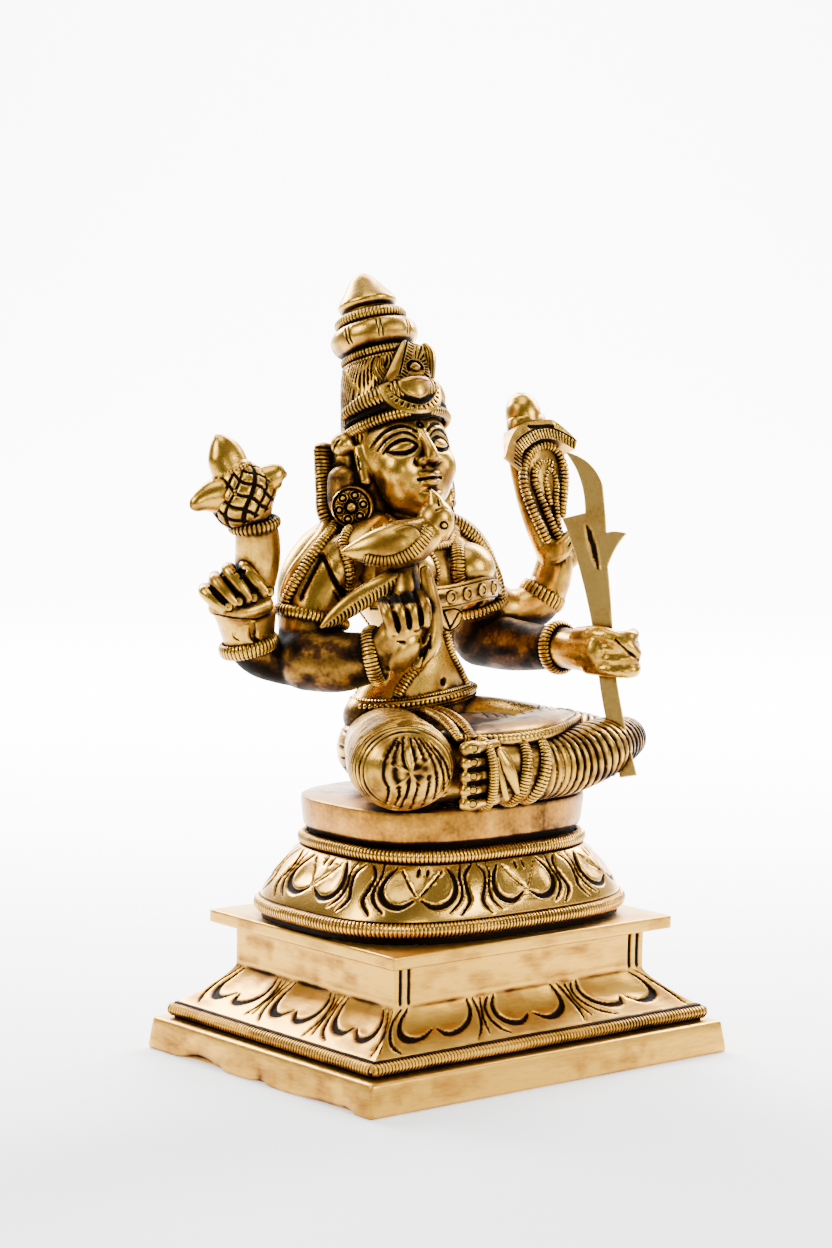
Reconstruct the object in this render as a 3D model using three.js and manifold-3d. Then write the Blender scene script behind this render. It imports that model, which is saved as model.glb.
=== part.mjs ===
// A small brass household figure of Parvati: a crowned, four-armed goddess who sits cross-legged
// with a parrot on her front right hand and a flat sugarcane stalk in her front left hand. She is
// fixed on a rounded lotus seat, and the seat stands on a stepped rectangular plinth.
// Millimetres, +Z up, the goddess faces -Y, and the origin is at the centre of the plinth's underside.
import * as THREE from "three";
import { mergeVertices } from "three/addons/utils/BufferGeometryUtils.js";
import Module from "manifold-3d";

const wasm = await Module();
wasm.setup();

// Plinth, from the floor up
const footWidth = 100;
const footDepth = 76.5;
const footHeight = 7;
const footDraft = 0.9;
const railInset = 2.6;
const railHeight = 3.4;
const slopeInset = 4.9;
const slopeHeight = 6.9;
const dadoWidth = 69.5;
const dadoDepth = 53.2;
const dadoHeight = 10.1;
const capWidth = 77.8;
const capDepth = 62.3;
const capHeight = 2.8;
const plinthPetalsPerSide = 3;

// Lotus seat: half sizes of its rounded-rectangle plan, and heights, from the plinth up
const seatCorner = 3;
const seatFoot = { a: 38.2, b: 28.6, height: 1.2 };
const lowerRope = { a: 40, b: 30.2, radius: 1.65 };
const petalBand = { a: 38.2, b: 28.6, topA: 29.4, topB: 23.2, height: 10.6 };
const upperRope = { a: 30.4, b: 24.2, radius: 1.5 };
const seatNeck = { a: 28.6, b: 21.6, height: 1 };
const seatPlate = { a: 30.4, b: 22.4, height: 7 };
const seatPetals = 8;

// Figure, drawn at 110 mm from the seat to the crown's tip and kept in those proportions
const figureHeight = 110;
const drawnHeight = 110;

// Clearance where one casting stands on another
const seatGap = 0.3;

// Sugarcane stalk, a flat strip with leaves that passes through the front left fist
const caneThickness = 1.5;
const caneWidth = 3.8;
const caneClearance = 0.3;

// Dishes of the carved lotus petals
const dishDepth = 0.55;

// Facets that stand less than this off their neighbours are merged
const facetTolerance = 0.3;
const plugRadii = [0.45, 0.4, 0.4];

// Depth of the roof over the noose, as drawn
const gableDepth = 4.4;

// Loose bodies under this volume, left where facets graze each other, are dropped
const crumb = 0.05;

const WELD = 1e-4;
const TURN = Math.PI * 2;

const brass = (color, roughness) => new THREE.MeshStandardMaterial({ color, roughness, metalness: 1 });

// Solids

function toSolid(geometry) {
  const loose = geometry.index ? geometry.toNonIndexed() : geometry;
  const bare = new THREE.BufferGeometry().setAttribute("position", loose.getAttribute("position"));
  const merged = mergeVertices(bare, WELD);
  const corners = merged.index.array;
  const kept = [];
  for (let i = 0; i < corners.length; i += 3) {
    const [a, b, c] = corners.slice(i, i + 3);
    if (a !== b && b !== c && c !== a) kept.push(a, b, c);
  }
  const vertProperties = merged.getAttribute("position").array;
  return new wasm.Manifold(new wasm.Mesh({ numProp: 3, vertProperties, triVerts: new Uint32Array(kept) }));
}

function toGeometry(solid) {
  const { numProp, numVert, vertProperties, triVerts } = solid.getMesh();
  const position = new Float32Array(numVert * 3);
  for (let i = 0; i < numVert; i++) {
    position.set(vertProperties.subarray(i * numProp, i * numProp + 3), i * 3);
  }
  const geometry = new THREE.BufferGeometry();
  geometry.setAttribute("position", new THREE.BufferAttribute(position, 3));
  geometry.setIndex(new THREE.BufferAttribute(triVerts, 1));
  geometry.computeVertexNormals();
  return geometry;
}

const join = (solids) => solids.reduce((whole, solid) => whole.add(solid));

// The same solid with any hollow that no opening reaches filled in.
const filled = (solid) => join(solid.decompose().filter((body) => body.volume() > crumb));

// One casting from many shapes, solid wherever their overlap would shut in a hollow.
const union = (solids) => filled(join(solids));

function piece(name, solid, material) {
  const mesh = new THREE.Mesh(toGeometry(solid), material);
  mesh.name = name;
  return mesh;
}

const thinned = (solid) => solid.asOriginal().simplify(facetTolerance);

// Sends each vertex (x, ring number, z) of a lathed stack of unit rings through place(ring, x, z).
function mapRings(ringCount, sides, place, turn = 0) {
  const profile = [new THREE.Vector2(0, 0)];
  for (let ring = 0; ring < ringCount; ring++) profile.push(new THREE.Vector2(1, ring));
  profile.push(new THREE.Vector2(0, ringCount - 1));
  const geometry = new THREE.LatheGeometry(profile, sides, turn);
  const position = geometry.getAttribute("position");
  for (let i = 0; i < position.count; i++) {
    const spot = place(Math.round(position.getY(i)), position.getX(i), position.getZ(i));
    position.setXYZ(i, spot.x, spot.y, spot.z);
  }
  return geometry;
}

// A point of a rounded rectangle of half sizes a and b, along the direction (x, z) of a unit circle.
function superellipse(x, z, a, b, corner) {
  const soft = (value) => Math.sign(value) * Math.abs(value) ** (2 / corner);
  return [a * soft(x), b * soft(z)];
}

// Levels of [z, half width, half depth], stacked as one solid with a rounded plan.
function roundedStack(levels, corner, sides) {
  return toSolid(mapRings(levels.length, sides, (ring, x, z) => {
    const [height, a, b] = levels[ring];
    const [px, py] = superellipse(x, -z, a, b, corner);
    return new THREE.Vector3(px, py, height);
  }));
}

// The same with a rectangular plan of full sizes [z, width, depth].
function boxStack(levels) {
  const corner = Math.SQRT1_2;
  return toSolid(mapRings(levels.length, 4, (ring, x, z) => {
    const [height, width, depth] = levels[ring];
    return new THREE.Vector3((x / corner) * width / 2, (-z / corner) * depth / 2, height);
  }, TURN / 8));
}

function ellipsoid(centre, radii, { turn = [0, 0, 0], across = 8, down = 5 } = {}) {
  const geometry = new THREE.SphereGeometry(1, across, down);
  geometry.rotateX(Math.PI / 2);
  geometry.scale(...radii);
  const matrix = new THREE.Matrix4().makeRotationFromEuler(new THREE.Euler(...turn));
  matrix.setPosition(...centre);
  return toSolid(geometry.applyMatrix4(matrix));
}

// Fills the pinched spots where two folds of the surface only meet at a point.
function plugged(solid) {
  const { numProp, numVert, vertProperties } = solid.getMesh();
  const seen = new Set();
  const plugs = [];
  for (let i = 0; i < numVert; i++) {
    const spot = Array.from(vertProperties.subarray(i * numProp, i * numProp + 3));
    const key = spot.map((value) => value.toFixed(3)).join();
    if (seen.has(key)) plugs.push(ellipsoid(spot, plugRadii, { across: 5, down: 4 }));
    seen.add(key);
  }
  return filled(join([solid, ...plugs]));
}

// A limb through stations of [x, y, z, radius along "across", radius the other way], with domed ends.
// ribs gives raised pleats, { from, to, count, depth }, as shares of the limb's length.
function limb(stations, { sides = 8, steps = 4, across = [1, 0, 0], dome = 0.8, ribs = null } = {}) {
  const path = new THREE.CatmullRomCurve3(stations.map(([x, y, z]) => new THREE.Vector3(x, y, z)));
  const girth = new THREE.CatmullRomCurve3(stations.map(([, , , a, b = a]) => new THREE.Vector3(a, b, 0)));
  const rings = [];
  const add = (t, push, swell) => rings.push({ t, push, swell });
  const domes = sides > 9 ? [[-1, 0.3], [-0.62, 0.78]] : [[-0.8, 0.6]];
  domes.forEach(([push, swell]) => add(0, push * dome, swell));
  for (let i = 0; i <= steps; i++) {
    const t = i / steps;
    const pleated = ribs && t > ribs.from && t < ribs.to;
    if (!pleated) add(t, 0, 1);
  }
  if (ribs) {
    for (let i = 0; i < ribs.count; i++) {
      const start = ribs.from + (ribs.to - ribs.from) * i / ribs.count;
      const width = (ribs.to - ribs.from) / ribs.count;
      add(start + width * 0.1, 0, 1 - ribs.depth);
      add(start + width * 0.5, 0, 1);
    }
    rings.sort((p, q) => p.t - q.t || p.push - q.push);
  }
  domes.slice().reverse().forEach(([push, swell]) => add(1, -push * dome, swell));
  return toSolid(mapRings(rings.length, sides, (index, x, z) => {
    const { t, push, swell } = rings[index];
    const along = path.getTangent(t);
    const first = new THREE.Vector3(...across);
    first.addScaledVector(along, -first.dot(along)).normalize();
    const second = new THREE.Vector3().crossVectors(first, along);
    const size = girth.getPoint(t);
    return path.getPoint(t)
      .addScaledVector(along, push * Math.min(size.x, size.y))
      .addScaledVector(first, x * size.x * swell)
      .addScaledVector(second, z * size.y * swell);
  }));
}

// A ring of round section: radii is [across x, across y], thick the section's radius.
function ring(centre, radii, thick, { turn = [0, 0, 0], sides = 20, flat = 1 } = {}) {
  const profile = [];
  const facets = 4;
  for (let i = 0; i <= facets; i++) {
    const angle = -TURN * (i % facets + 0.5) / facets;
    profile.push(new THREE.Vector2(1 + thick * Math.cos(angle) / radii[0], -thick * flat * Math.sin(angle)));
  }
  const geometry = new THREE.LatheGeometry(profile, sides);
  geometry.rotateX(Math.PI / 2);
  geometry.scale(radii[0], radii[1], 1);
  const matrix = new THREE.Matrix4().makeRotationFromEuler(new THREE.Euler(...turn));
  matrix.setPosition(...centre);
  return toSolid(geometry.applyMatrix4(matrix));
}

// A shape's outline extruded by its thickness about its own plane.
function plate(outline, thickness, place) {
  const settings = { depth: thickness, bevelEnabled: false, curveSegments: 5 };
  const geometry = new THREE.ExtrudeGeometry(outline, settings);
  geometry.translate(0, 0, -thickness / 2);
  return toSolid(geometry.applyMatrix4(place));
}

// Plinth

const slopeFoot = footHeight + railHeight;
const dadoFoot = slopeFoot + slopeHeight;
const capFoot = dadoFoot + dadoHeight;
const plinthTop = capFoot + capHeight;
const plinthOverlap = 0.5;

// Two shallow dishes side by side, the lobes of one heart-shaped petal.
function petalDishes(centre, yaw, slope, lobe, tall) {
  return [-1, 1].map((side) => {
    const [dx, dy] = [Math.cos(yaw) * side * lobe, Math.sin(yaw) * side * lobe];
    const frame = new THREE.Euler(-slope, 0, yaw, "ZYX");
    const geometry = new THREE.SphereGeometry(1, 7, 4);
    geometry.scale(lobe * 1.08, tall, dishDepth * 2);
    geometry.applyMatrix4(new THREE.Matrix4().makeRotationFromEuler(frame));
    geometry.translate(centre[0] + dx, centre[1] + dy, centre[2]);
    return toSolid(geometry);
  });
}

function plinthSolid() {
  const railWidth = footWidth - railInset * 2;
  const railDepth = footDepth - railInset * 2;
  const slopeWidth = footWidth - slopeInset * 2;
  const slopeDepth = footDepth - slopeInset * 2;
  const foot = boxStack([
    [0, footWidth, footDepth],
    [footHeight, footWidth - footDraft * 2, footDepth - footDraft * 2],
  ]);
  const railRound = railHeight / 4;
  const rail = boxStack([
    [footHeight - plinthOverlap, railWidth - railRound * 2, railDepth - railRound * 2],
    [footHeight + railRound, railWidth, railDepth],
    [slopeFoot - railRound, railWidth, railDepth],
    [slopeFoot, railWidth - railRound * 2, railDepth - railRound * 2],
  ]);
  const slope = boxStack([
    [slopeFoot - plinthOverlap, slopeWidth, slopeDepth],
    [slopeFoot, slopeWidth, slopeDepth],
    [slopeFoot + slopeHeight * 0.85, dadoWidth + 2.4, dadoDepth + 1.6],
    [dadoFoot + plinthOverlap, dadoWidth, dadoDepth],
  ]);
  const dado = boxStack([[dadoFoot, dadoWidth, dadoDepth], [capFoot + plinthOverlap, dadoWidth, dadoDepth]]);
  const cap = boxStack([[capFoot, capWidth, capDepth], [plinthTop, capWidth, capDepth]]);
  let solid = union([foot, rail, slope, dado, cap]);
  const midWidth = (slopeWidth + dadoWidth) / 2;
  const midDepth = (slopeDepth + dadoDepth) / 2;
  const midHeight = slopeFoot + slopeHeight * 0.5;
  const faces = [
    { yaw: 0, length: midWidth, out: midDepth / 2, run: (slopeDepth - dadoDepth) / 2 },
    { yaw: TURN / 4, length: midDepth, out: midWidth / 2, run: (slopeWidth - dadoWidth) / 2 },
    { yaw: TURN / 2, length: midWidth, out: midDepth / 2, run: (slopeDepth - dadoDepth) / 2 },
    { yaw: TURN * 3 / 4, length: midDepth, out: midWidth / 2, run: (slopeWidth - dadoWidth) / 2 },
  ];
  for (const { yaw, length, out, run } of faces) {
    const pitch = length / (plinthPetalsPerSide + 0.4);
    const slopeAngle = -Math.atan2(slopeHeight, run);
    for (let i = 0; i < plinthPetalsPerSide; i++) {
      const along = (i - (plinthPetalsPerSide - 1) / 2) * pitch;
      const x = Math.cos(yaw) * along + Math.sin(yaw) * out;
      const y = Math.sin(yaw) * along - Math.cos(yaw) * out;
      const tall = Math.hypot(run, slopeHeight) * 0.3;
      for (const dish of petalDishes([x, y, midHeight], yaw, slopeAngle, pitch * 0.17, tall)) {
        solid = solid.subtract(dish);
      }
    }
  }
  return thinned(solid);
}

// Lotus seat

const seatUnderside = plinthTop + seatGap;
const ropeFoot = seatUnderside + seatFoot.height;
const bandFoot = ropeFoot + lowerRope.radius * 2;
const bandTop = bandFoot + petalBand.height;
const neckFoot = bandTop + upperRope.radius * 2;
const plateFoot = neckFoot + seatNeck.height;
const seatTop = plateFoot + seatPlate.height;

function ropeLevels(foot, { a, b, radius }) {
  const bulge = [[0.1, 0.45], [0.5, 0.85], [1, 1], [1.5, 0.85], [1.9, 0.45]];
  return bulge.map(([height, swell]) => {
    const inset = radius * (1 - swell);
    return [foot + height * radius, a - inset, b - inset];
  });
}

function lotusSeatSolid() {
  const { a, b, topA, topB } = petalBand;
  const belly = 0.5;
  let solid = roundedStack([
    [seatUnderside, seatFoot.a, seatFoot.b],
    [ropeFoot, seatFoot.a, seatFoot.b],
    ...ropeLevels(ropeFoot, lowerRope),
    [bandFoot, a - 0.6, b - 0.6],
    [bandFoot + 0.4, a, b],
    [bandFoot + petalBand.height * 0.5, (a + topA) / 2 + belly, (b + topB) / 2 + belly],
    [bandTop, topA, topB],
    ...ropeLevels(bandTop, upperRope),
    [neckFoot, seatNeck.a, seatNeck.b],
    [plateFoot, seatNeck.a, seatNeck.b],
    [plateFoot, seatPlate.a - 0.9, seatPlate.b - 0.3],
    [seatTop, seatPlate.a, seatPlate.b],
  ], seatCorner, 32);
  const height = bandFoot + petalBand.height * 0.5;
  const [midA, midB] = [(a + topA) / 2 + belly, (b + topB) / 2 + belly];
  for (let i = 0; i < seatPetals; i++) {
    const angle = TURN * i / seatPetals;
    const [x, y] = superellipse(Math.cos(angle), Math.sin(angle), midA, midB, seatCorner);
    const next = angle + 0.05;
    const [aheadX, aheadY] = superellipse(Math.cos(next), Math.sin(next), midA, midB, seatCorner);
    const yaw = Math.atan2(aheadY - y, aheadX - x);
    const slopeAngle = -Math.atan2(petalBand.height, (a + b - topA - topB) / 2);
    for (const dish of petalDishes([x, y, height], yaw, slopeAngle, 3.9, 3.4)) solid = solid.subtract(dish);
  }
  return thinned(solid);
}

// Figure, in its drawn millimetres above the seat

const tilt = 20.5 * Math.PI / 180;
const headCentre = [0.4, 16.8, 69.8];

// A point of the head: right, back and up from its centre, leaning back with the face.
function onHead(x, y, z) {
  const [cx, cy, cz] = headCentre;
  return [
    cx + x,
    cy + y * Math.cos(tilt) + z * Math.sin(tilt),
    cz + z * Math.cos(tilt) - y * Math.sin(tilt),
  ];
}

const headTurn = [-tilt, 0, 0];
const mirror = ([x, y, z, ...sizes]) => [-x, y, z, ...sizes];

function legs() {
  const rightThigh = limb([
    [-6.5, 12, 9.6, 9.4], [-14.4, 0.4, 10, 9.6], [-21.4, -10.3, 10.2, 10.8, 10.3],
    [-25.2, -16.4, 9.9, 11, 10],
    [-27.2, -19.8, 9.7, 9.7, 8.9], [-28.3, -22.1, 9.5, 7.2, 6.6],
  ], { sides: 11, steps: 7, dome: 0.3, ribs: { from: 0.4, to: 0.94, count: 5, depth: 0.06 } });
  const leftThigh = limb([
    [7, 12, 9.6, 9.6], [15.5, 1, 9.4, 10, 9.2], [23, -9, 8.9, 10, 8.2], [28.6, -15.6, 8.4, 8.6, 7.4],
  ], { sides: 11, steps: 6, dome: 0.75, ribs: { from: 0.65, to: 1, count: 3, depth: 0.06 } });
  const shin = limb([
    [41.2, -14.6, 10.3, 3.4, 3.2], [36.5, -16, 10.1, 5.9, 5], [31, -18.2, 9.6, 6.5, 5.9],
    [24, -20.6, 8.7, 6.8, 6.6],
    [15.5, -21.8, 7.2, 5.8, 6.8], [9.5, -22.4, 6.9, 5, 6.5],
  ], { sides: 10, steps: 5, across: [0, 1, 0], ribs: { from: 0.08, to: 0.98, count: 10, depth: 0.12 } });
  const rightShin = limb([[-24, -14, 7.5, 7], [-12, -16, 7, 6.4], [2, -14, 6.6, 6]], { steps: 2 });
  const hips = ellipsoid([0, 9.5, 8.6], [19.5, 12.6, 11], { across: 14, down: 7 });
  const lap = ellipsoid([3, -7.5, 9.4], [21, 14.5, 9.4], { across: 14, down: 7 });
  return [rightThigh, leftThigh, shin, rightShin, hips, lap, ...foot(), ...apron()];
}

// The left foot stands on its edge in front of the right knee, with its toes one above the other.
function foot() {
  const sole = limb([
    [12, -22.2, 6.9, 4.9, 6.4], [3, -22.9, 6.7, 4.2, 6.4], [-4, -23.4, 6.8, 3.5, 6.4],
    [-12, -24, 7.4, 2.7, 6.4],
  ], { steps: 3, across: [0, 1, 0], dome: 0.4 });
  const toes = [];
  const toeCount = 5;
  for (let i = 0; i < toeCount; i++) {
    const height = 1.9 + i * 3.05;
    const reach = 18.8 - Math.abs(i - 3) * 0.35;
    const girth = i === toeCount - 1 ? 1.95 : 1.72;
    toes.push(limb([[-8, -24.6, height, girth], [-reach, -25.6, height, girth]], { sides: 6, steps: 1 }));
  }
  const bands = [[-9.8, -23.8, 7.2, 3.6], [-0.8, -23, 6.8, 4.6], [4.2, -22.8, 6.9, 4.9]];
  const anklets = bands.map(([x, y, z, deep]) =>
    ring([x, y, z], [6.7, deep], 0.9, { turn: [0, TURN / 4, 0], sides: 10 }));
  return [sole, ...toes, ...anklets];
}

// The cloth over the lap, with its hem across the front.
function apron() {
  const cloth = limb([
    [-13, -17, 14.6, 1.2, 3.8], [-4, -18, 14.9, 1.5, 5.6], [7, -17, 15.2, 1.6, 6.6],
    [18, -12.6, 15.8, 1.5, 5.8],
    [25.5, -9.6, 15.8, 1.2, 3.8],
  ], { sides: 8, steps: 5, across: [0, 0, 1], dome: 0.8 });
  const hem = limb([
    [-12.4, -21.4, 14.4, 1, 1], [-6, -23.6, 13.9, 1, 1.2], [2, -24.2, 13.9, 1.1, 1.3],
    [10, -23, 14.3, 1.1, 1.2],
    [18, -19.6, 15, 0.9, 1], [25, -15.4, 15.6, 0.6, 0.7],
  ], { sides: 6, steps: 6, across: [0, 1, 0] });
  return [cloth, hem];
}

function torso() {
  const trunk = limb([
    [0, 10, 13, 15.5, 10.5], [0, 9.9, 19, 15.2, 8.6], [0, 9.6, 25, 11.2, 8], [0, 9.5, 31, 8.2, 7.2],
    [0, 10.6, 37, 11.6, 9], [0, 12, 43, 16, 10.8], [0, 13.4, 48.5, 18.5, 10], [0, 15, 53, 13.5, 8],
  ], { sides: 14, steps: 8, dome: 0.4 });
  const neck = limb([[0, 15.4, 51, 6.2, 6], [0, 15.6, 59, 5.6, 5.6]], { steps: 1 });
  const breasts = [-1, 1].map((side) => ellipsoid([side * 8.2, 4, 46.6], [6.8, 6.6, 6],
    { across: 9, down: 6 }));
  const chestBand = roundedRing([0, 9.6, 41.6], 17, 12.2, 2.9, 1.2);
  const belt = ring([0, 9.8, 18.6], [15.4, 9], 1.3, { sides: 18 });
  const pendant = limb([[0, -1.6, 38.6, 2.6, 1], [0, -0.6, 35.4, 0.8, 0.6]], { sides: 6, steps: 1 });
  const studs = [-9, -3, 3, 9].map((x) => {
    const y = 9.6 - 13 * Math.sqrt(1 - (x / 17.4) ** 2);
    return ellipsoid([x, y, 41.6], [1.6, 1, 1.6], { across: 6, down: 4 });
  });
  const navel = ellipsoid([0, 1.5, 23.4], [1.2, 0.9, 1.3], { across: 6, down: 4 });
  const cords = [-1, 1].map((side) => limb([
    [side * 1.5, 0.6, 35.5, 1], [side * 5.6, 2.2, 30, 1], [side * 9.6, 2.6, 24.5, 1],
    [side * 13, 4.2, 19.6, 1],
  ], { sides: 5, steps: 4 }));
  const jewels = [chestBand, belt, pendant, ...studs, ...cords];
  return { added: [trunk, neck, ...breasts, ...jewels, ...shawl()], cut: navel };
}

// A flat-faced band round an elliptical body.
function roundedRing([x, y, z], a, b, half, thick) {
  const profile = [[-thick, -half], [0, -half], [thick * 0.5, 0], [0, half], [-thick, half]];
  const loop = [...profile, profile[0]].map(([out, height]) => new THREE.Vector2(1 + out / a, height));
  const geometry = new THREE.LatheGeometry(loop, 18);
  geometry.rotateX(Math.PI / 2);
  geometry.scale(a, b, 1);
  return toSolid(geometry.translate(x, y, z));
}

// Rope-edged shawl: a cape over each shoulder to the elbow, and a collar that meets between the breasts.
function shawl() {
  const capes = [
    [[-12, 22.5, 54.2, 3.6], [-19.2, 20.6, 49.4, 4.4], [-24.8, 18.6, 44.2, 5], [-26.4, 17, 37.5, 4.8]],
    [[12, 20.5, 53.6, 3.4], [19, 19.4, 48.8, 4.4], [23.6, 18.8, 44.2, 5], [24.6, 18.6, 38, 4.8]],
    [[-8, 13.6, 55.4, 3.8], [-14.4, 12.6, 51.4, 4.8], [-20, 13.2, 46.4, 5]],
    [[8.4, 13.6, 55.6, 4], [14.6, 13.2, 51.7, 4.5], [20.2, 15, 47.2, 5], [23.2, 16.4, 41, 5.2]],
  ].map((rows) => limb(rows, { steps: 4 }));
  const edges = [
    [[-14.4, 19.4, 55.2, 1.3], [-19.4, 16.4, 52.5, 1.4], [-23.8, 15.3, 49.3, 1.4], [-27.2, 15.6, 45.5, 1.4],
    [-29.6, 16.4, 41, 1.3]],
    [[9.4, 8.6, 57.6, 1.2], [14.2, 9, 54.6, 1.3], [18.6, 10, 50.8, 1.3], [22.4, 11.2, 46.8, 1.3],
    [24.8, 12.4, 41.6, 1.3]],
  ].map((rows) => limb(rows, { sides: 5, steps: 5 }));
  const collar = [-1, 1].flatMap((side) => [
    limb([
      [side * 6.4, 8.4, 56, 1.6, 1], [side * 5.4, 2.6, 51, 1.7, 1], [side * 2.6, -1.4, 45.6, 1.5, 1],
    ], { sides: 5, steps: 3 }),
    limb([
      [side * 9.8, 9, 55.4, 1.1], [side * 15, 5.6, 49, 1.1], [side * 18.6, 7.2, 42.4, 1.1],
    ], { sides: 5, steps: 3 }),
  ]);
  const backs = [-1, 1].map((side) => ellipsoid([side * 16.8 - 0.6, 16.6, 46.4], [8.4, 7.4, 7.8]));
  return [...capes, ...edges, ...collar, ...backs];
}

function head() {
  const skull = ellipsoid(onHead(0, 0, 1), [11, 11.6, 12.6], { turn: headTurn, across: 14, down: 10 });
  const jaw = ellipsoid(onHead(0, -3.2, -6.6), [8, 7.4, 6.8], { turn: headTurn, across: 10, down: 7 });
  const cheeks = [-1, 1].map((side) => ellipsoid(onHead(side * 4.6, -6.4, -3), [4, 4.2, 4.4],
    { turn: headTurn }));
  const nose = limb([
    [...onHead(0, -11, 2.6), 1, 1], [...onHead(0, -12.4, -0.8), 1.4, 1.2],
    [...onHead(0, -13.2, -3.2), 1.9, 1.4],
  ], { sides: 6, steps: 2 });
  const lips = [[-6.7, 0.9], [-8.2, 0.8]].map(([height, thick]) => limb([
    [...onHead(-3.1, -9.6, height), 0.5], [...onHead(0, -11.5, height - 0.2), thick],
    [...onHead(3.1, -9.6, height), 0.5],
  ], { sides: 5, steps: 2, across: [0, 0, 1] }));
  const eyes = [-1, 1].flatMap((side) => [
    ellipsoid(onHead(side * 4.4, -9.3, 0), [2.8, 1.6, 1.2], { turn: headTurn }),
    limb([
      [...onHead(side * 1.5, -11, 2.9), 0.45], [...onHead(side * 4.6, -10.3, 4.1), 0.55],
      [...onHead(side * 8, -7.6, 2.7), 0.4],
    ], { sides: 4, steps: 3 }),
  ]);
  const ears = [-1, 1].flatMap((side) => {
    const at = (x, y, z) => onHead(side * x, y, z);
    const drop = (x, y, z) => onHead(side * x - 1, y + 0.8, z + 0.8);
    return [
      limb([
        [...at(10.6, 0, 2.6), 1.6, 1.2], [...at(11.2, -0.4, -1.4), 1.4, 1.1],
        [...at(11.4, -0.6, -5), 1.2, 1],
      ], { sides: 5, steps: 2 }),
      disc(drop(13.1, 1.7, -10.4), 4.4, 2.6, side),
      ellipsoid(drop(14.1, 0.8, -10.4), [1.3, 1.3, 1.3], { across: 6, down: 4 }),
      ellipsoid(at(12.6, 2.9, 4.4), [2.3, 2.3, 2.3], { across: 7, down: 5 }),
      limb([
        [...drop(12.2, 7.6, 4.2), 2.9, 1.9], [...drop(12.9, 8.4, -1), 2.6, 1.9],
        [...drop(13.2, 8.6, -5), 2.9, 2],
        [...drop(13.7, 8.8, -9), 3.1, 2.1], [...drop(13.7, 8.6, -12.6), 2.5, 1.9],
      ], { sides: 7, steps: 4, dome: 0.4 }),
    ];
  });
  return [skull, jaw, ...cheeks, nose, ...lips, ...eyes, ...ears, ...crown()];
}

// A short round boss that faces out and forward from the ear.
function disc([x, y, z], radius, thick, side) {
  const out = [side * 0.74, -0.66];
  return limb([
    [x - out[0] * thick / 2, y - out[1] * thick / 2, z, radius],
    [x + out[0] * thick / 2, y + out[1] * thick / 2, z, radius * 0.96],
  ], { sides: 11, steps: 1, dome: 0.12, across: [0, 0, 1] });
}

// The tall crown of matted hair, with its rings and knob, the diadem and the crest in front.
function crown() {
  const rise = (height, radius) => [...onHead(0, 0, height), radius, radius];
  const body = limb([
    rise(4, 11), rise(9, 11), rise(13, 10.4), rise(18, 9.6), rise(22, 8), rise(24, 6.6), rise(33, 5.6),
  ], { sides: 14, steps: 7, dome: 0.2 });
  const rings = [[23, 7.1, 1.3], [27.4, 7.2, 2.6], [31.6, 6.8, 1.4]].map(([height, radius, thick]) =>
    ring(onHead(0, 0, height), [radius, radius], thick, { turn: headTurn, sides: 14 }));
  const knob = limb([rise(33, 4.8), rise(35.2, 6.3), rise(38.4, 4.4), rise(41, 2.2)],
    { sides: 10, steps: 3, dome: 0.3 });
  const diadem = limb([
    [...onHead(0, -0.6, 6.6), 11.2, 12], [...onHead(0, -0.9, 9.4), 11.7, 12.8],
    [...onHead(0, -0.4, 12.4), 11.3, 12.2],
    [...onHead(0, 0.4, 15.4), 9.8, 10.2],
  ], { sides: 16, steps: 3, dome: 0.08 });
  const hoops = [[7.2, 11.5], [12.4, 11.5]].map(([height, radius]) =>
    ring(onHead(0, -0.7, height), [radius, radius + 1], 0.8, { turn: headTurn, sides: 18 }));
  const crescent = limb([
    [...onHead(-5.4, -10.6, 14.4), 1], [...onHead(-3.6, -13, 10.6), 1.3], [...onHead(0, -14, 8.8), 1.5],
    [...onHead(3.6, -13, 10.6), 1.3], [...onHead(5.4, -10.6, 14.4), 1],
  ], { sides: 6, steps: 6, across: [0, 0, 1] });
  const gem = ellipsoid(onHead(0, -11.8, 13.4), [2.8, 2, 2.3], { turn: headTurn });
  const crest = limb([
    [...onHead(0, -8.8, 15.4), 5.4, 2.6], [...onHead(0, -8.2, 19), 4.4, 2.4],
    [...onHead(0, -7.2, 23.2), 1.5, 1.2],
  ], { sides: 8, steps: 3, dome: 0.4 });
  const lobes = [
    [[...onHead(3.8, -9, 16.4), 1.7], [...onHead(5.4, -9.4, 19), 1.6], [...onHead(5.9, -9.4, 21.2), 1.1]],
    [[...onHead(-4.2, -8.6, 15.8), 1.6], [...onHead(-5.2, -8.4, 18), 1.3],
    [...onHead(-4.6, -8.2, 20), 0.8]],
  ].map((rows) => limb(rows, { sides: 6, steps: 2 }));
  return [body, ...rings, knob, diadem, ...hoops, crescent, gem, crest, ...lobes];
}

// Fingers curled from their knuckles over a grip.
function fingers(roots, bends, tips, radius) {
  return roots.map((root, i) => limb([[...root, radius], [...bends[i], radius], [...tips[i], radius * 0.9]],
    { sides: 5, steps: 2 }));
}

const between = (p, q, t) => p.map((value, i) => value + (q[i] - value) * t);
const spread = (p, q, count) => Array.from({ length: count }, (_, i) => between(p, q, i / (count - 1)));

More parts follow.
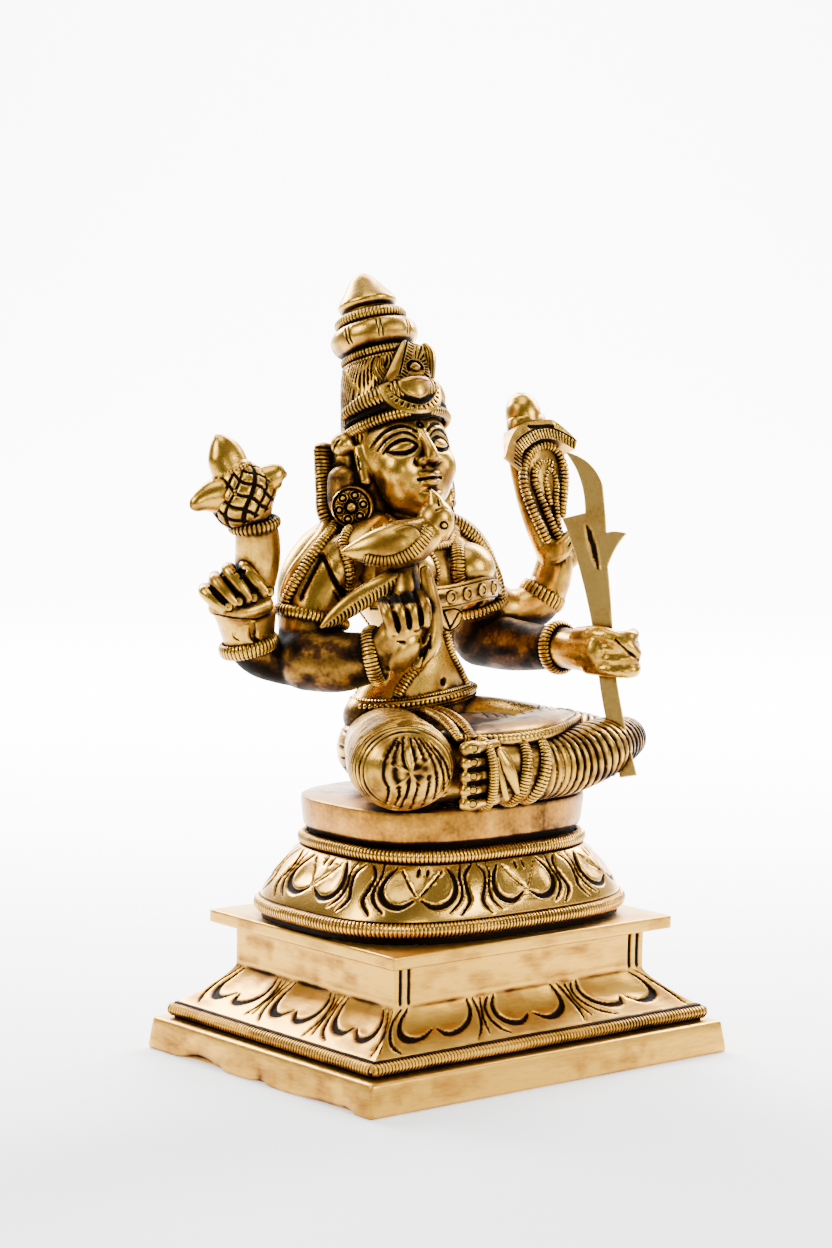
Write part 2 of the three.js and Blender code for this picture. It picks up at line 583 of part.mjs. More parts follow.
function rightArms() {
  const upper = limb([
    [-17, 15.6, 48, 6.8], [-22.4, 16.6, 41, 7.4], [-25, 14.8, 33.4, 7], [-27.4, 12.4, 28, 6],
  ], { steps: 5 });
  const foreFront = limb([
    [-28.4, 12.6, 27.6, 5.7], [-24, 6, 26.6, 5.4], [-18.4, 0, 27.8, 4.7],
  ], { steps: 5 });
  const foreRear = limb([
    [-27.6, 13.6, 27.6, 5.4], [-31.6, 17, 28, 4.9], [-35.6, 18.9, 29.8, 4.7], [-38.8, 19.4, 33.2, 5.4],
    [-41, 18.6, 38, 6],
  ], { steps: 6 });
  const bracelets = [
    ring([-18, -0.4, 28], [5, 5], 1.1, { turn: [TURN / 4 - 0.25, 0, -0.72], sides: 10 }),
    ring([-38.4, 19.2, 32.4], [5.8, 5.7], 1.2, { turn: [-0.05, -0.26, 0], sides: 10 }),
  ];
  const armlet = ring([-24.4, 15.3, 36.6], [7.3, 7.3], 1, { turn: [0.25, 0.3, 0], sides: 10 });
  const palm = limb([
    [-17.4, -1.6, 28.4, 4.2, 3.6], [-15, -4.8, 32, 5, 3.4], [-13, -5, 37, 4.6, 3.2],
  ], { steps: 4 });
  const curled = fingers(
    spread([-17.8, -3.4, 40], [-10, -6.6, 41.4], 4), spread([-18.2, -5.6, 38], [-10.4, -8.6, 39.4], 4),
    spread([-17.4, -6.6, 34.6], [-10.6, -8.6, 36], 4), 1.35,
  );
  const pointing = limb([
    [-9.4, -5.6, 34, 1.6], [-8, -5.8, 42, 1.5], [-8, -4, 48, 1.3],
  ], { sides: 6, steps: 3 });
  const fist = ellipsoid([-42, 17.6, 41.6], [7.3, 6.6, 6.6], { across: 9, down: 6 });
  const knuckles = fingers(
    spread([-46.6, 15.6, 45.4], [-38.4, 13.4, 43], 4), spread([-48, 13.4, 42.4], [-39.8, 11, 40], 4),
    spread([-46.8, 12.6, 38.4], [-38.6, 11, 36.6], 4), 1.5,
  );
  const thumb = limb([[-38, 14, 45, 1.7], [-37.4, 12, 42, 1.7]], { sides: 6, steps: 1 });
  const frontHand = [palm, ...curled, pointing];
  const rearHand = [fist, ...knuckles, thumb, ...goad()];
  return [upper, foreFront, foreRear, ...bracelets, armlet, ...frontHand, ...rearHand];
}

// The rear right hand's flaming goad: a stout shaft, a corded collar and a bud with three tongues.
function goad() {
  const shaft = limb([
    [-38.8, 17.4, 43, 4.6], [-38.4, 16, 50, 4.8], [-39.8, 15.2, 57, 4.5],
  ], { steps: 3, dome: 0.3 });
  const collar = ring([-40.2, 15.2, 57.4], [4.3, 4.3], 1.2, { sides: 10, turn: [0.1, -0.2, 0] });
  const bud = ellipsoid([-42, 16.4, 63.4], [7.2, 6.4, 6.4], { turn: [0, -0.4, -0.3], across: 10, down: 6 });
  const tongues = [
    limb([
      [-43.8, 17.4, 66.6, 4, 3.4], [-45, 18.5, 71, 4, 3.1], [-46.6, 19.2, 74.6, 1.5],
    ], { sides: 7, steps: 2 }),
    limb([
      [-46.2, 16.8, 63.4, 3.7, 3.2], [-50.6, 17.4, 62.8, 2.9, 2.5], [-53.8, 17.6, 61.4, 1],
    ], { sides: 7, steps: 2 }),
    limb([
      [-39.6, 15.6, 65, 3.3, 2.9], [-36.2, 13.9, 67, 2.6, 2.3], [-34.8, 13.3, 67.4, 1.6],
    ], { sides: 7, steps: 2 }),
  ];
  return [shaft, collar, bud, ...tongues];
}

function leftArms() {
  const upper = limb([[16, 16, 48, 6.4], [21.6, 18, 41.6, 6.6], [25, 19.2, 35, 6.4], [25.6, 19, 29.6, 6.4]],
    { steps: 5 });
  const foreFront = limb([
    [26, 19, 29.4, 6.4], [27.4, 10, 28.6, 5.8], [28.6, 1, 28.8, 5], [29.4, -6, 29.4, 4.4],
  ], { steps: 6 });
  const foreRear = limb([
    [25.6, 18.4, 38, 5.6], [32.2, 16.8, 35, 5.2], [38, 14, 36.6, 5], [41.4, 12.4, 42.4, 4.4],
    [42, 12, 48, 4],
  ], { steps: 6 });
  const bracelets = [
    ring([29.2, -4.4, 29.2], [4.8, 4.8], 1, { turn: [TURN / 4, 0, 0.1], sides: 10 }),
    ring([39.4, 13.5, 38.6], [4.9, 4.9], 1.2, { turn: [0.15, 0.5, 0.2], sides: 10 }),
  ];
  const armlet = ring([23.6, 18.6, 38.2], [6.8, 6.8], 1, { turn: [0.1, -0.25, 0], sides: 10 });
  const hand = limb([
    [29, -6, 29.2, 4.3, 4], [28.4, -12, 29.4, 4, 3.6], [27.6, -17, 30, 3.4, 2.6],
  ], { steps: 4 });
  const curled = fingers(
    spread([27.4, -15.6, 26.6], [27.4, -15.6, 33.4], 4), spread([28.8, -20.6, 26], [28.8, -20, 33], 4),
    spread([32.6, -22.6, 26], [32.6, -21.8, 33], 4), 1.7,
  );
  const thumb = limb([
    [27.4, -12, 32.6, 2], [28.4, -18.4, 33, 1.9], [31.6, -22.8, 30.6, 1.6],
  ], { sides: 6, steps: 2 });
  const pad = limb([
    [30.2, -13.6, 30, 2.4, 3.6], [33, -17.4, 30, 2.1, 3.8], [34.2, -19.6, 30, 1.6, 3.4],
  ], { steps: 2 });
  return [upper, foreFront, foreRear, ...bracelets, armlet, hand, ...curled, thumb, pad, ...noose()];
}

// The rear left hand's noose: a looped cord on a hood, under a gabled roof and a bud.
function noose() {
  const hand = ellipsoid([42, 12, 48.6], [4.8, 3.8, 4], { across: 9, down: 6 });
  const hood = limb([
    [41.4, 12.6, 50, 4.4, 2.8], [40, 14, 54, 4.8, 2.8], [39.8, 15.6, 60, 6.1, 2.9], [40.6, 17.6, 66, 7, 3],
    [41.2, 19.6, 71.6, 6.6, 2.8],
  ], { sides: 10, steps: 6, across: [1, 0, 0], dome: 0.4 });
  const middle = (height) => 39.6 + Math.abs(height - 58.5) * (height < 58.5 ? 0.26 : 0.14);
  const loops = [[5.5, 71.2, 52], [1.7, 67.6, 53]].map(([wide, top, foot]) => {
    const at = (side, height) => [middle(height) + side, 8.6 + (height - 50) * 0.385, height];
    const half = foot + (top - foot) * 0.45;
    return limb([
      [...at(0.4, foot), 0.8], [...at(-wide * 0.76, half), 0.9], [...at(-wide, top - wide), 1],
      [...at(0, top), 1],
      [...at(wide, top - wide), 1], [...at(wide * 0.76, half), 0.9], [...at(0.9, foot), 0.8],
    ], { sides: 5, steps: 12 });
  });
  const bud = limb([
    [41.2, 22.4, 76, 3.8], [41.1, 23, 79, 4], [40.8, 24.1, 82, 2.2],
  ], { sides: 8, steps: 2, dome: 0.5 });
  return [hand, hood, ...loops, gable(), bud];
}

// The roof over the noose: a five-cornered block that leans back with the hood.
function gable() {
  const corners = [[-11.7, -0.6], [7.2, 3.4], [9.5, 5.7], [3.1, 10.7], [-5.4, 9.7], [-11.8, 2.3]];
  const outline = new THREE.Shape(corners.map(([x, z]) => new THREE.Vector2(x, z)));
  const lean = new THREE.Vector3(0, 0.34, 0.94).normalize();
  const across = new THREE.Vector3(1, 0, 0);
  const out = new THREE.Vector3().crossVectors(across, lean);
  const middle = new THREE.Vector3(42, 15.6, 67).addScaledVector(out, -gableDepth / 2);
  return plate(outline, gableDepth, new THREE.Matrix4().makeBasis(across, lean, out).setPosition(middle));
}

// The parrot stands on the front right hand with its beak lifted to the goddess's chin.
function parrot() {
  const body = limb([
    [-22.6, 4.6, 48.6, 0.8, 0.8], [-17.4, 1.4, 48.6, 2.6, 2.6], [-12, -1.8, 49.4, 3.9, 3.7],
    [-8, -3, 53, 3.6, 3.6],
    [-5.4, -2.8, 57.2, 3.6, 3.7],
  ], { sides: 9, steps: 6, across: [0, 0, 1], dome: 0.7 });
  const wings = [[-14.6, -3.6], [-13, 1.4]].map(([x, y]) => limb([
    [x - 5.4, y + 3.4, 50.6, 0.8, 0.6], [x, y + 0.2, 51.6, 2.6, 1.4], [x + 3.4, y - 1, 52.6, 1.4, 1],
  ], { sides: 6, steps: 3, across: [0, 0, 1] }));
  const beak = limb([
    [-4.6, -2, 59.6, 1.7], [-3.4, 0.4, 62.2, 1], [-3, 1.6, 63, 0.5],
  ], { sides: 5, steps: 2 });
  const tail = limb([
    [-10.6, 0.2, 46.6, 1.6, 1.5], [-18, 3, 42, 2.2, 1.3], [-24, 5.8, 37.6, 1.9, 1.1],
    [-27, 7.2, 35.6, 0.8, 0.7],
  ], { sides: 6, steps: 4, across: [0, 0, 1] });
  const perch = limb([[-12, -2.6, 46.4, 2.4], [-12.6, -3.8, 41, 3]], { sides: 6, steps: 1 });
  return [body, ...wings, beak, tail, perch];
}

const scale = figureHeight / drawnHeight;

// Sends a solid from the figure's drawn millimetres to its place on the seat.
function toPlace(solid) {
  return solid.scale([scale, scale, scale]).translate([0, 0, seatTop + seatGap]);
}

const caneSpot = new THREE.Vector3(31, -19, 30.1);
const caneUp = new THREE.Vector3(0, 0.235, 0.972).normalize();
const caneAcross = new THREE.Vector3(0.7, -0.714, 0).projectOnPlane(caneUp).normalize();
const canePlace = new THREE.Matrix4()
  .makeBasis(caneAcross, caneUp, new THREE.Vector3().crossVectors(caneAcross, caneUp))
  .setPosition(caneSpot.clone().multiplyScalar(scale).setZ(caneSpot.z * scale + seatTop + seatGap));

// The stalk's outline, with y along it from the fist at 0: a bent blade on top and a leaf on each side.
function caneOutline(spare) {
  const [left, right] = [-caneWidth - 0.1 - spare, spare];
  const shape = new THREE.Shape();
  const to = (x, y) => [x * scale, y * scale];
  shape.moveTo(...to(left + 1.6, -27.4 - spare));
  shape.lineTo(...to(right + 1.4, -27.4 - spare));
  shape.quadraticCurveTo(...to(right - 0.6, -10), ...to(right + 0.1, 0));
  shape.quadraticCurveTo(...to(right + 1, 8), ...to(right + 1.4, 18));
  shape.quadraticCurveTo(...to(3.4, 22), ...to(6.4, 24.4));
  shape.quadraticCurveTo(...to(4, 25.6), ...to(2.1, 25.2));
  shape.quadraticCurveTo(...to(2.6, 31), ...to(2.7, 35.6));
  shape.quadraticCurveTo(...to(1.6, 41.6), ...to(-4.4, 43.9));
  shape.quadraticCurveTo(...to(-0.8, 38), ...to(-1.9, 30.1));
  shape.lineTo(...to(-7, 29.6));
  shape.quadraticCurveTo(...to(-5.2, 24), ...to(left - 0.3, 13));
  shape.quadraticCurveTo(...to(left + 0.5, 4), ...to(left + 0.1, -4));
  shape.quadraticCurveTo(...to(left - 0.3, -12), ...to(left + 1.6, -27.4 - spare));
  return shape;
}

function caneSolid(spare = 0) {
  return plate(caneOutline(spare), caneThickness + spare * 2, canePlace);
}

function figureSolid() {
  const { added, cut } = torso();
  const arms = [...rightArms(), ...leftArms()];
  const drawn = union([...legs(), ...added, ...head(), ...arms, ...parrot()]).subtract(cut);
  const ground = boxStack([[-40, 200, 200], [0, 200, 200]]);
  const placed = thinned(toPlace(drawn.subtract(ground)));
  return plugged(placed.subtract(caneSolid(caneClearance)));
}

const goddess = new THREE.Group();
goddess.add(piece("plinth", plinthSolid(), brass(0xc39a50, 0.42)));
goddess.add(piece("lotus_seat", lotusSeatSolid(), brass(0xcba255, 0.36)));
goddess.add(piece("goddess_figure", figureSolid(), brass(0xb48a44, 0.38)));
goddess.add(piece("sugarcane_stalk", caneSolid(), brass(0xbd9a5c, 0.45)));

export default goddess;
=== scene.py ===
import math

import bmesh
import bpy
import numpy as np
from mathutils import Matrix, Vector
from mathutils.bvhtree import BVHTree


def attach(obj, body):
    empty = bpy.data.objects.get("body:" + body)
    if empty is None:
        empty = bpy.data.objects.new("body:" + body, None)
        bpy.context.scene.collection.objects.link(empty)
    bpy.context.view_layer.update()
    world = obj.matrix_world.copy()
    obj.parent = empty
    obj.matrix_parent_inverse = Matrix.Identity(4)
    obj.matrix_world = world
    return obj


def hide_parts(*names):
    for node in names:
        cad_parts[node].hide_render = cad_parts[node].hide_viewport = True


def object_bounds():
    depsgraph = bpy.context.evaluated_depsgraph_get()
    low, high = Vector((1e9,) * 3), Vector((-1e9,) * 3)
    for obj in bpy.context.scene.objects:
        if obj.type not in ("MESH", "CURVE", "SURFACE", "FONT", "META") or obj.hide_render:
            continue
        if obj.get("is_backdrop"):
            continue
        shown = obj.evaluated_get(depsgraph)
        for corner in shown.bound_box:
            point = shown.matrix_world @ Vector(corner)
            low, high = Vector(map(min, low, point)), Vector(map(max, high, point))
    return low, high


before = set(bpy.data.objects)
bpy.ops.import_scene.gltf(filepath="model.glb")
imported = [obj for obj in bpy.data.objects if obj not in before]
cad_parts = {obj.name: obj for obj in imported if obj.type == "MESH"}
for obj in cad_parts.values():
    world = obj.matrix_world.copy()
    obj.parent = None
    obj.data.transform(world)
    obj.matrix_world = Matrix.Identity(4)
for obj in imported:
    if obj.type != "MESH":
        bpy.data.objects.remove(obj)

start_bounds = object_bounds()

# A brass figure of Parvati on a lotus seat and a stepped plinth. Shapes are worked out in millimetres in
# the solids' own frame (+Z up, she faces -Y, origin under the plinth) and turned into metres at the end.

MM = 0.001
TAU = math.tau
UP = (0, 0, 1)

# Heights
PLINTH_TOP = 30.2
SEAT_FOOT = PLINTH_TOP + 0.3
SEAT_TOP = 56.6
FIGURE_FOOT = SEAT_TOP + 0.3


# Curves and noise

def smooth(x):
    x = np.clip(x, 0, 1)
    return x * x * (3 - 2 * x)


def noise(points, size, seed=0):
    """Smooth value noise from -1 to 1 at each point, with lumps of about this size."""
    p = np.asarray(points, float) / size + 31.7 * seed
    cell = np.floor(p).astype(np.int64)
    part = p - cell
    part = part * part * (3 - 2 * part)
    total = np.zeros(len(p))
    for corner in range(8):
        step = np.array([corner & 1, corner >> 1 & 1, corner >> 2 & 1])
        q = cell + step
        h = (q[:, 0] * 374761393 + q[:, 1] * 668265263 + q[:, 2] * 2147483647) & 0x7FFFFFFF
        h = ((h ^ (h >> 13)) * 1274126177) & 0x7FFFFFFF
        value = (h ^ (h >> 16)) / 0x3FFFFFFF - 1
        weight = np.where(step == 1, part, 1 - part).prod(1)
        total += value * weight
    return total


def curve(stations, step=0.5, closed=False, count=None):
    """Samples a Catmull-Rom line through rows of [x, y, z, more...] at even steps, in millimetres."""
    rows = np.array([list(row) for row in stations], float)
    n = len(rows)
    out = []
    spans = n if closed else n - 1
    for i in range(spans):
        at = (lambda k: rows[k % n]) if closed else (lambda k: rows[k] if 0 <= k < n
            else (2 * rows[0] - rows[1] if k < 0 else 2 * rows[-1] - rows[-2]))
        p0, p1, p2, p3 = at(i - 1), at(i), at(i + 1), at(i + 2)
        d0, d1, d2 = (max(np.linalg.norm((q - p)[:3]), 1e-6) ** 0.5
            for p, q in ((p0, p1), (p1, p2), (p2, p3)))
        t1 = ((p1 - p0) / d0 - (p2 - p0) / (d0 + d1) + (p2 - p1) / d1) * d1
        t2 = ((p2 - p1) / d1 - (p3 - p1) / (d1 + d2) + (p3 - p2) / d2) * d1
        t = np.linspace(0, 1, 16, endpoint=False)[:, None]
        out.append(p1 + t1 * t + (3 * (p2 - p1) - 2 * t1 - t2) * t ** 2 + (2 * (p1 - p2) + t1 + t2) * t ** 3)
    out.append((rows[0] if closed else rows[-1])[None])
    fine = np.concatenate(out)
    along = np.concatenate([[0], np.cumsum(np.linalg.norm(np.diff(fine[:, :3], axis=0), axis=1))])
    total = along[-1]
    count = count or max(3, int(round(total / step)) + 1)
    s = np.linspace(0, total, count)
    line = np.stack([np.interp(s, along, fine[:, k]) for k in range(fine.shape[1])], 1)
    return line[:-1] if closed else line


def level(x, y, z):
    """Points that share one height."""
    return np.stack([x, y, z + 0 * x], 1)


def unit(v):
    v = np.asarray(v, float)
    return v / np.maximum(np.linalg.norm(v, axis=-1, keepdims=True), 1e-9)


# Skins: closed surfaces as arrays, with how dark each point is from its cut lines and, on some pieces, from
# painted shade

class Skin:
    def __init__(self, points, faces, cut=None):
        self.v = np.asarray(points, float)
        self.f = faces
        self.cut = np.zeros(len(self.v)) if cut is None else np.asarray(cut, float)

    def normals(self):
        n = np.zeros_like(self.v)
        for k in (3, 4):
            f = np.array([face for face in self.f if len(face) == k], int).reshape(-1, k)
            if not len(f):
                continue
            a, b = self.v[f[:, 2]] - self.v[f[:, 0]], self.v[f[:, k - 1]] - self.v[f[:, 1]]
            face_n = np.cross(a, b)
            for j in range(k):
                for axis in range(3):
                    n[:, axis] += np.bincount(f[:, j], face_n[:, axis], len(n))
        return unit(n)

    def relax(self, rounds=1, strength=0.5):
        pairs = np.array([(face[i], face[(i + 1) % len(face)]) for face in self.f for i in range(len(face))],
            int)
        pairs = np.unique(np.sort(pairs, 1), axis=0)
        both = np.concatenate([pairs, pairs[:, ::-1]])
        degree = np.bincount(both[:, 0], minlength=len(self.v))[:, None]
        for _ in range(rounds):
            mean = np.stack([np.bincount(both[:, 0], self.v[both[:, 1], k], len(self.v)) for k in range(3)],
                1)
            self.v = self.v + strength * (mean / np.maximum(degree, 1) - self.v)
        return self

    def moved(self, move):
        self.v = self.v + np.asarray(move, float)
        return self


def merged(skins):
    points, faces, cut, base = [], [], [], 0
    for skin in skins:
        points.append(skin.v)
        cut.append(skin.cut)
        faces.extend([tuple(i + base for i in face) for face in skin.f])
        base += len(skin.v)
    return Skin(np.concatenate(points), faces, np.concatenate(cut))


def grid_faces(rows, columns, wrap=True, start=0):
    r = np.arange(rows - 1)[:, None] * columns
    c = np.arange(columns if wrap else columns - 1)[None]
    nxt = (c + 1) % columns
    quads = np.stack([r + c, r + nxt, r + columns + nxt, r + columns + c], -1).reshape(-1, 4) + start
    return [tuple(q) for q in quads.tolist()]


def facing_out(skin):
    """The same closed skin with its faces turned outwards."""
    corners = np.array([face if len(face) == 4 else (*face, face[0]) for face in skin.f])
    a, b, c, d = (skin.v[corners[:, k]] for k in range(4))
    if (np.cross(a, b) * c).sum() + (np.cross(a, c) * d).sum() < 0:
        skin.f = [face[::-1] for face in skin.f]
    return skin


def loft(rings, cut=None, closed=False):
    """A closed skin through rings of points (rings, round, 3); a closed one joins its last ring to its first."""
    rings = np.asarray(rings, float)
    rows, columns = rings.shape[:2]
    points = rings.reshape(-1, 3)
    cut = np.zeros((rows, columns)) if cut is None else np.broadcast_to(cut, (rows, columns))
    if closed:
        faces = grid_faces(rows, columns)
        last = (rows - 1) * columns
        faces += [(last + c, last + (c + 1) % columns, (c + 1) % columns, c) for c in range(columns)]
        return facing_out(Skin(points, faces, cut.reshape(-1)))
    faces = grid_faces(rows, columns)
    ends = np.stack([rings[0].mean(0), rings[-1].mean(0)])
    points = np.concatenate([points, ends])
    low, high = rows * columns, rows * columns + 1
    last = (rows - 1) * columns
    faces += [((c + 1) % columns, c, low) for c in range(columns)]
    faces += [(last + c, last + (c + 1) % columns, high) for c in range(columns)]
    return facing_out(Skin(points, faces, np.concatenate([cut.reshape(-1), [0, 0]])))


def tube(stations, across=(1, 0, 0), step=0.5, sides=24, dome=0.8, closed=False, relief=None, out=None):
    """A limb through [x, y, z, radius along across, other radius]. relief(s, angle, total) gives (push, cut).
    out, instead of across, is the way the second radius points: a vector, or a point that it leads away from."""
    rows = [list(row) + ([row[3]] if len(row) == 4 else []) for row in stations]
    line = curve(rows, step, closed)
    p, a, b = line[:, :3], line[:, 3], line[:, 4]
    if line.shape[1] == 8:
        out = line[:, 5:8]
    ahead = np.roll(p, -1, 0) - np.roll(p, 1, 0) if closed else np.gradient(p, axis=0)
    along = unit(ahead)
    s = np.concatenate([[0], np.cumsum(np.hypot(np.linalg.norm(np.diff(p, axis=0), axis=1),
        np.diff((a + b) / 2)))])
    total = s[-1] + (np.linalg.norm(p[0] - p[-1]) if closed else 0)
    if out is not None:
        lead = out(p) if callable(out) else np.broadcast_to(np.asarray(out, float), p.shape)
        second = unit(lead - (lead * along).sum(1)[:, None] * along)
        first = np.cross(along, second)
    else:
        lead = np.broadcast_to(np.asarray(across, float), p.shape)
        first = unit(lead - (lead * along).sum(1)[:, None] * along)
        second = np.cross(first, along)
    if not closed:
        rise = np.linspace(0, 1, 5)[1:]
        lift = np.sin(rise * TAU / 4) * dome
        swell = np.maximum(np.cos(rise * TAU / 4), 0.04)
        size = np.minimum(a, b)
        parts = lambda x, first_x, last_x: np.concatenate([first_x, x, last_x])
        p = parts(p, p[0] - along[0] * (lift[::-1] * size[0])[:, None],
            p[-1] + along[-1] * (lift * size[-1])[:, None])
        s = parts(s, s[0] - lift[::-1] * size[0], s[-1] + lift * size[-1])
        a, b = parts(a, a[0] * swell[::-1], a[-1] * swell), parts(b, b[0] * swell[::-1], b[-1] * swell)
        first = parts(first, np.repeat(first[:1], 4, 0), np.repeat(first[-1:], 4, 0))
        second = parts(second, np.repeat(second[:1], 4, 0), np.repeat(second[-1:], 4, 0))
    angle = np.linspace(0, TAU, sides, endpoint=False)
    way = first[:, None] * (np.cos(angle)[None, :, None] * a[:, None, None])
    way = way + second[:, None] * (np.sin(angle)[None, :, None] * b[:, None, None])
    cut = np.zeros((len(p), sides))
    if relief:
        push, cut = relief(s[:, None], angle[None], total)
        way = way * (1 + np.broadcast_to(push, cut.shape)[..., None] / np.minimum(a, b)[:, None, None])
    return loft(p[:, None] + way, cut, closed)


def groove(x, sharp=0.35):
    """A row of grooves, one in each unit of x: 0 on the lands, 1 in the groove."""
    return smooth((np.cos(TAU * x) - 1 + 2 * sharp) / (2 * sharp))


def hatched(pitch=0.9, depth=0.22, slant=0.0, sharp=0.6):
    def relief(s, angle, total):
        count = max(1, round(total / pitch))
        x = s / total * count + slant * angle / TAU
        return -depth * (groove(x, sharp) + 0 * angle), 0.9 * groove(x, 0.3) + 0 * angle
    return relief


def rope(points, radius, pitch=0.9, depth=0.22, slant=0.0, flat=1.0, closed=False, out=None, across=UP,
        step=None, sides=10, dome=0.8):
    stations = [[*p, *((r, r * flat) if np.isscalar(r) else r)]
        for p, r in zip(points, radius if np.ndim(radius) else [radius] * len(points))]
    return tube(stations, across, step or pitch / 4, sides, dome, closed, hatched(pitch, depth, slant), out)


def ball(centre, radii, turn=(0, 0, 0), across=18, down=12):
    radii = (radii,) * 3 if np.isscalar(radii) else radii
    lat = np.linspace(-TAU / 4, TAU / 4, down + 1)[1:-1]
    lon = np.linspace(0, TAU, across, endpoint=False)
    rings = np.stack([np.cos(lat)[:, None] * np.cos(lon), np.cos(lat)[:, None] * np.sin(lon),
        np.sin(lat)[:, None] + 0 * lon], -1)
    skin = loft(rings)
    skin.v[-2:] = [[0, 0, -1], [0, 0, 1]]
    turned = np.array(rotation(*turn))
    skin.v = (skin.v * np.array(radii)) @ turned.T + np.array(centre, float)
    return skin


def rotation(x, y, z):
    return Matrix.Rotation(x, 3, "X") @ Matrix.Rotation(y, 3, "Y") @ Matrix.Rotation(z, 3, "Z")


def circle(centre, radius, normal, n=24, squash=1.0, side=None):
    normal = unit(normal)
    side = unit(np.cross(normal, side if side is not None else (UP if abs(normal[2]) < 0.9 else (1, 0, 0))))
    other = np.cross(normal, side)
    t = np.linspace(0, TAU, n, endpoint=False)
    return np.array(centre) + radius * (np.cos(t)[:, None] * side + squash * np.sin(t)[:, None] * other)


def fused(skins, voxel=0.45, rounds=3):
    """One skin over several that overlap, as if cast together."""
    both = merged(skins)
    mesh = bpy.data.meshes.new("fuse")
    mesh.from_pydata(both.v.tolist(), [], both.f)
    piece = bpy.data.objects.new("fuse", mesh)
    bpy.context.collection.objects.link(piece)
    bm = bmesh.new()
    bm.from_mesh(mesh)
    bmesh.ops.recalc_face_normals(bm, faces=bm.faces)
    bm.to_mesh(mesh)
    bm.free()
    remesh = piece.modifiers.new("skin", "REMESH")
    remesh.mode = "VOXEL"
    remesh.voxel_size = voxel
    done = piece.evaluated_get(bpy.context.evaluated_depsgraph_get()).to_mesh()
    points = np.zeros(len(done.vertices) * 3)
    done.vertices.foreach_get("co", points)
    corners = np.zeros(len(done.loops), int)
    done.loops.foreach_get("vertex_index", corners)
    starts = np.zeros(len(done.polygons), int)
    done.polygons.foreach_get("loop_start", starts)
    counts = np.zeros(len(done.polygons), int)
    done.polygons.foreach_get("loop_total", counts)
    faces = [tuple(corners[s:s + c].tolist()) for s, c in zip(starts, counts)]
    bpy.data.objects.remove(piece)
    bpy.data.meshes.remove(mesh)
    return Skin(points.reshape(-1, 3), faces).relax(rounds)


def engrave(skin, lines, width=0.7, depth=0.3, dark=1.0, taper=True, facing=None):
    """Cuts lines, each an array of points near the surface, into the skin. One that missed it is None."""
    normals = skin.normals()
    for line in lines:
        if line is None:
            continue
        line = np.asarray(line, float)
        low, high = line.min(0) - width * 1.6, line.max(0) + width * 1.6
        near = np.nonzero(((skin.v > low) & (skin.v < high)).all(1))[0]
        if facing is not None:
            near = near[(normals[near] @ unit(facing)) > -0.1]
        if not len(near):
            continue
        p = skin.v[near]
        best = np.full(len(p), 1e9)
        share = np.zeros(len(p))
        for i in range(len(line) - 1):
            a, d = line[i], line[i + 1] - line[i]
            t = np.clip(((p - a) @ d) / max(d @ d, 1e-9), 0, 1)
            gap = np.linalg.norm(p - a - t[:, None] * d, axis=1)
            nearer = gap < best
            best = np.where(nearer, gap, best)
            share = np.where(nearer, (i + t) / (len(line) - 1), share)
        size = width * (0.35 + 0.65 * np.sin(np.clip(share, 0, 1) * math.pi) ** 0.5 if taper else 1)
        amount = smooth(1.25 - best / size)
        skin.v[near] -= normals[near] * (depth * amount)[:, None]
        skin.cut[near] = np.maximum(skin.cut[near], dark * smooth(1.35 - best / size))
    return skin


# Plinth

def strokes_depth(u, v, strokes):
    """How deep a row of hand-cut strokes is at each (u, v), from 0 to 1. A stroke is (points, width)."""
    deep = np.zeros(u.shape)
    for points, width in strokes:
        line = curve([[x, y, 0] for x, y in points], count=14)[:, :2]
        share = np.linspace(0, 1, len(line))
        size = width / 2 * (0.3 + 0.7 * np.sin(np.clip(share * 1.06 - 0.03, 0, 1) * math.pi) ** 0.6)
        for i in range(len(line) - 1):
            a, d = line[i], line[i + 1] - line[i]
            t = np.clip(((u - a[0]) * d[0] + (v - a[1]) * d[1]) / max(d @ d, 1e-9), 0, 1)
            gap = np.hypot(u - a[0] - t * d[0], v - a[1] - t * d[1])
            deep = np.maximum(deep, smooth(1.45 - gap / (size[i] + (size[i + 1] - size[i]) * t)))
    return deep


def rectangle(half_width, half_depth, around):
    """Points round a rectangle from shares 0 to 4, one unit a side, starting at the front left corner."""
    side = np.floor(around).astype(int) % 4
    t = (around - np.floor(around)) * 2 - 1
    x = np.choose(side, [t, 1 + 0 * t, -t, -1 + 0 * t]) * half_width
    y = np.choose(side, [-1 + 0 * t, t, 1 + 0 * t, -t]) * half_depth
    return x, y


# Half widths and half depths of the plinth's parts, and the heights at which they start
FOOT = (50.0, 38.25)
RAIL = (47.4, 35.65)
SLOPE = (45.1, 33.35)
DADO = (34.75, 26.6)
CAP = (38.9, 31.15)
RAIL_FOOT, SLOPE_FOOT, DADO_FOOT, CAP_FOOT = 7.0, 10.4, 17.3, 27.4


def sliced(bm, point, normal):
    bmesh.ops.bisect_plane(bm, geom=bm.verts[:] + bm.edges[:] + bm.faces[:], plane_co=point, plane_no=normal)


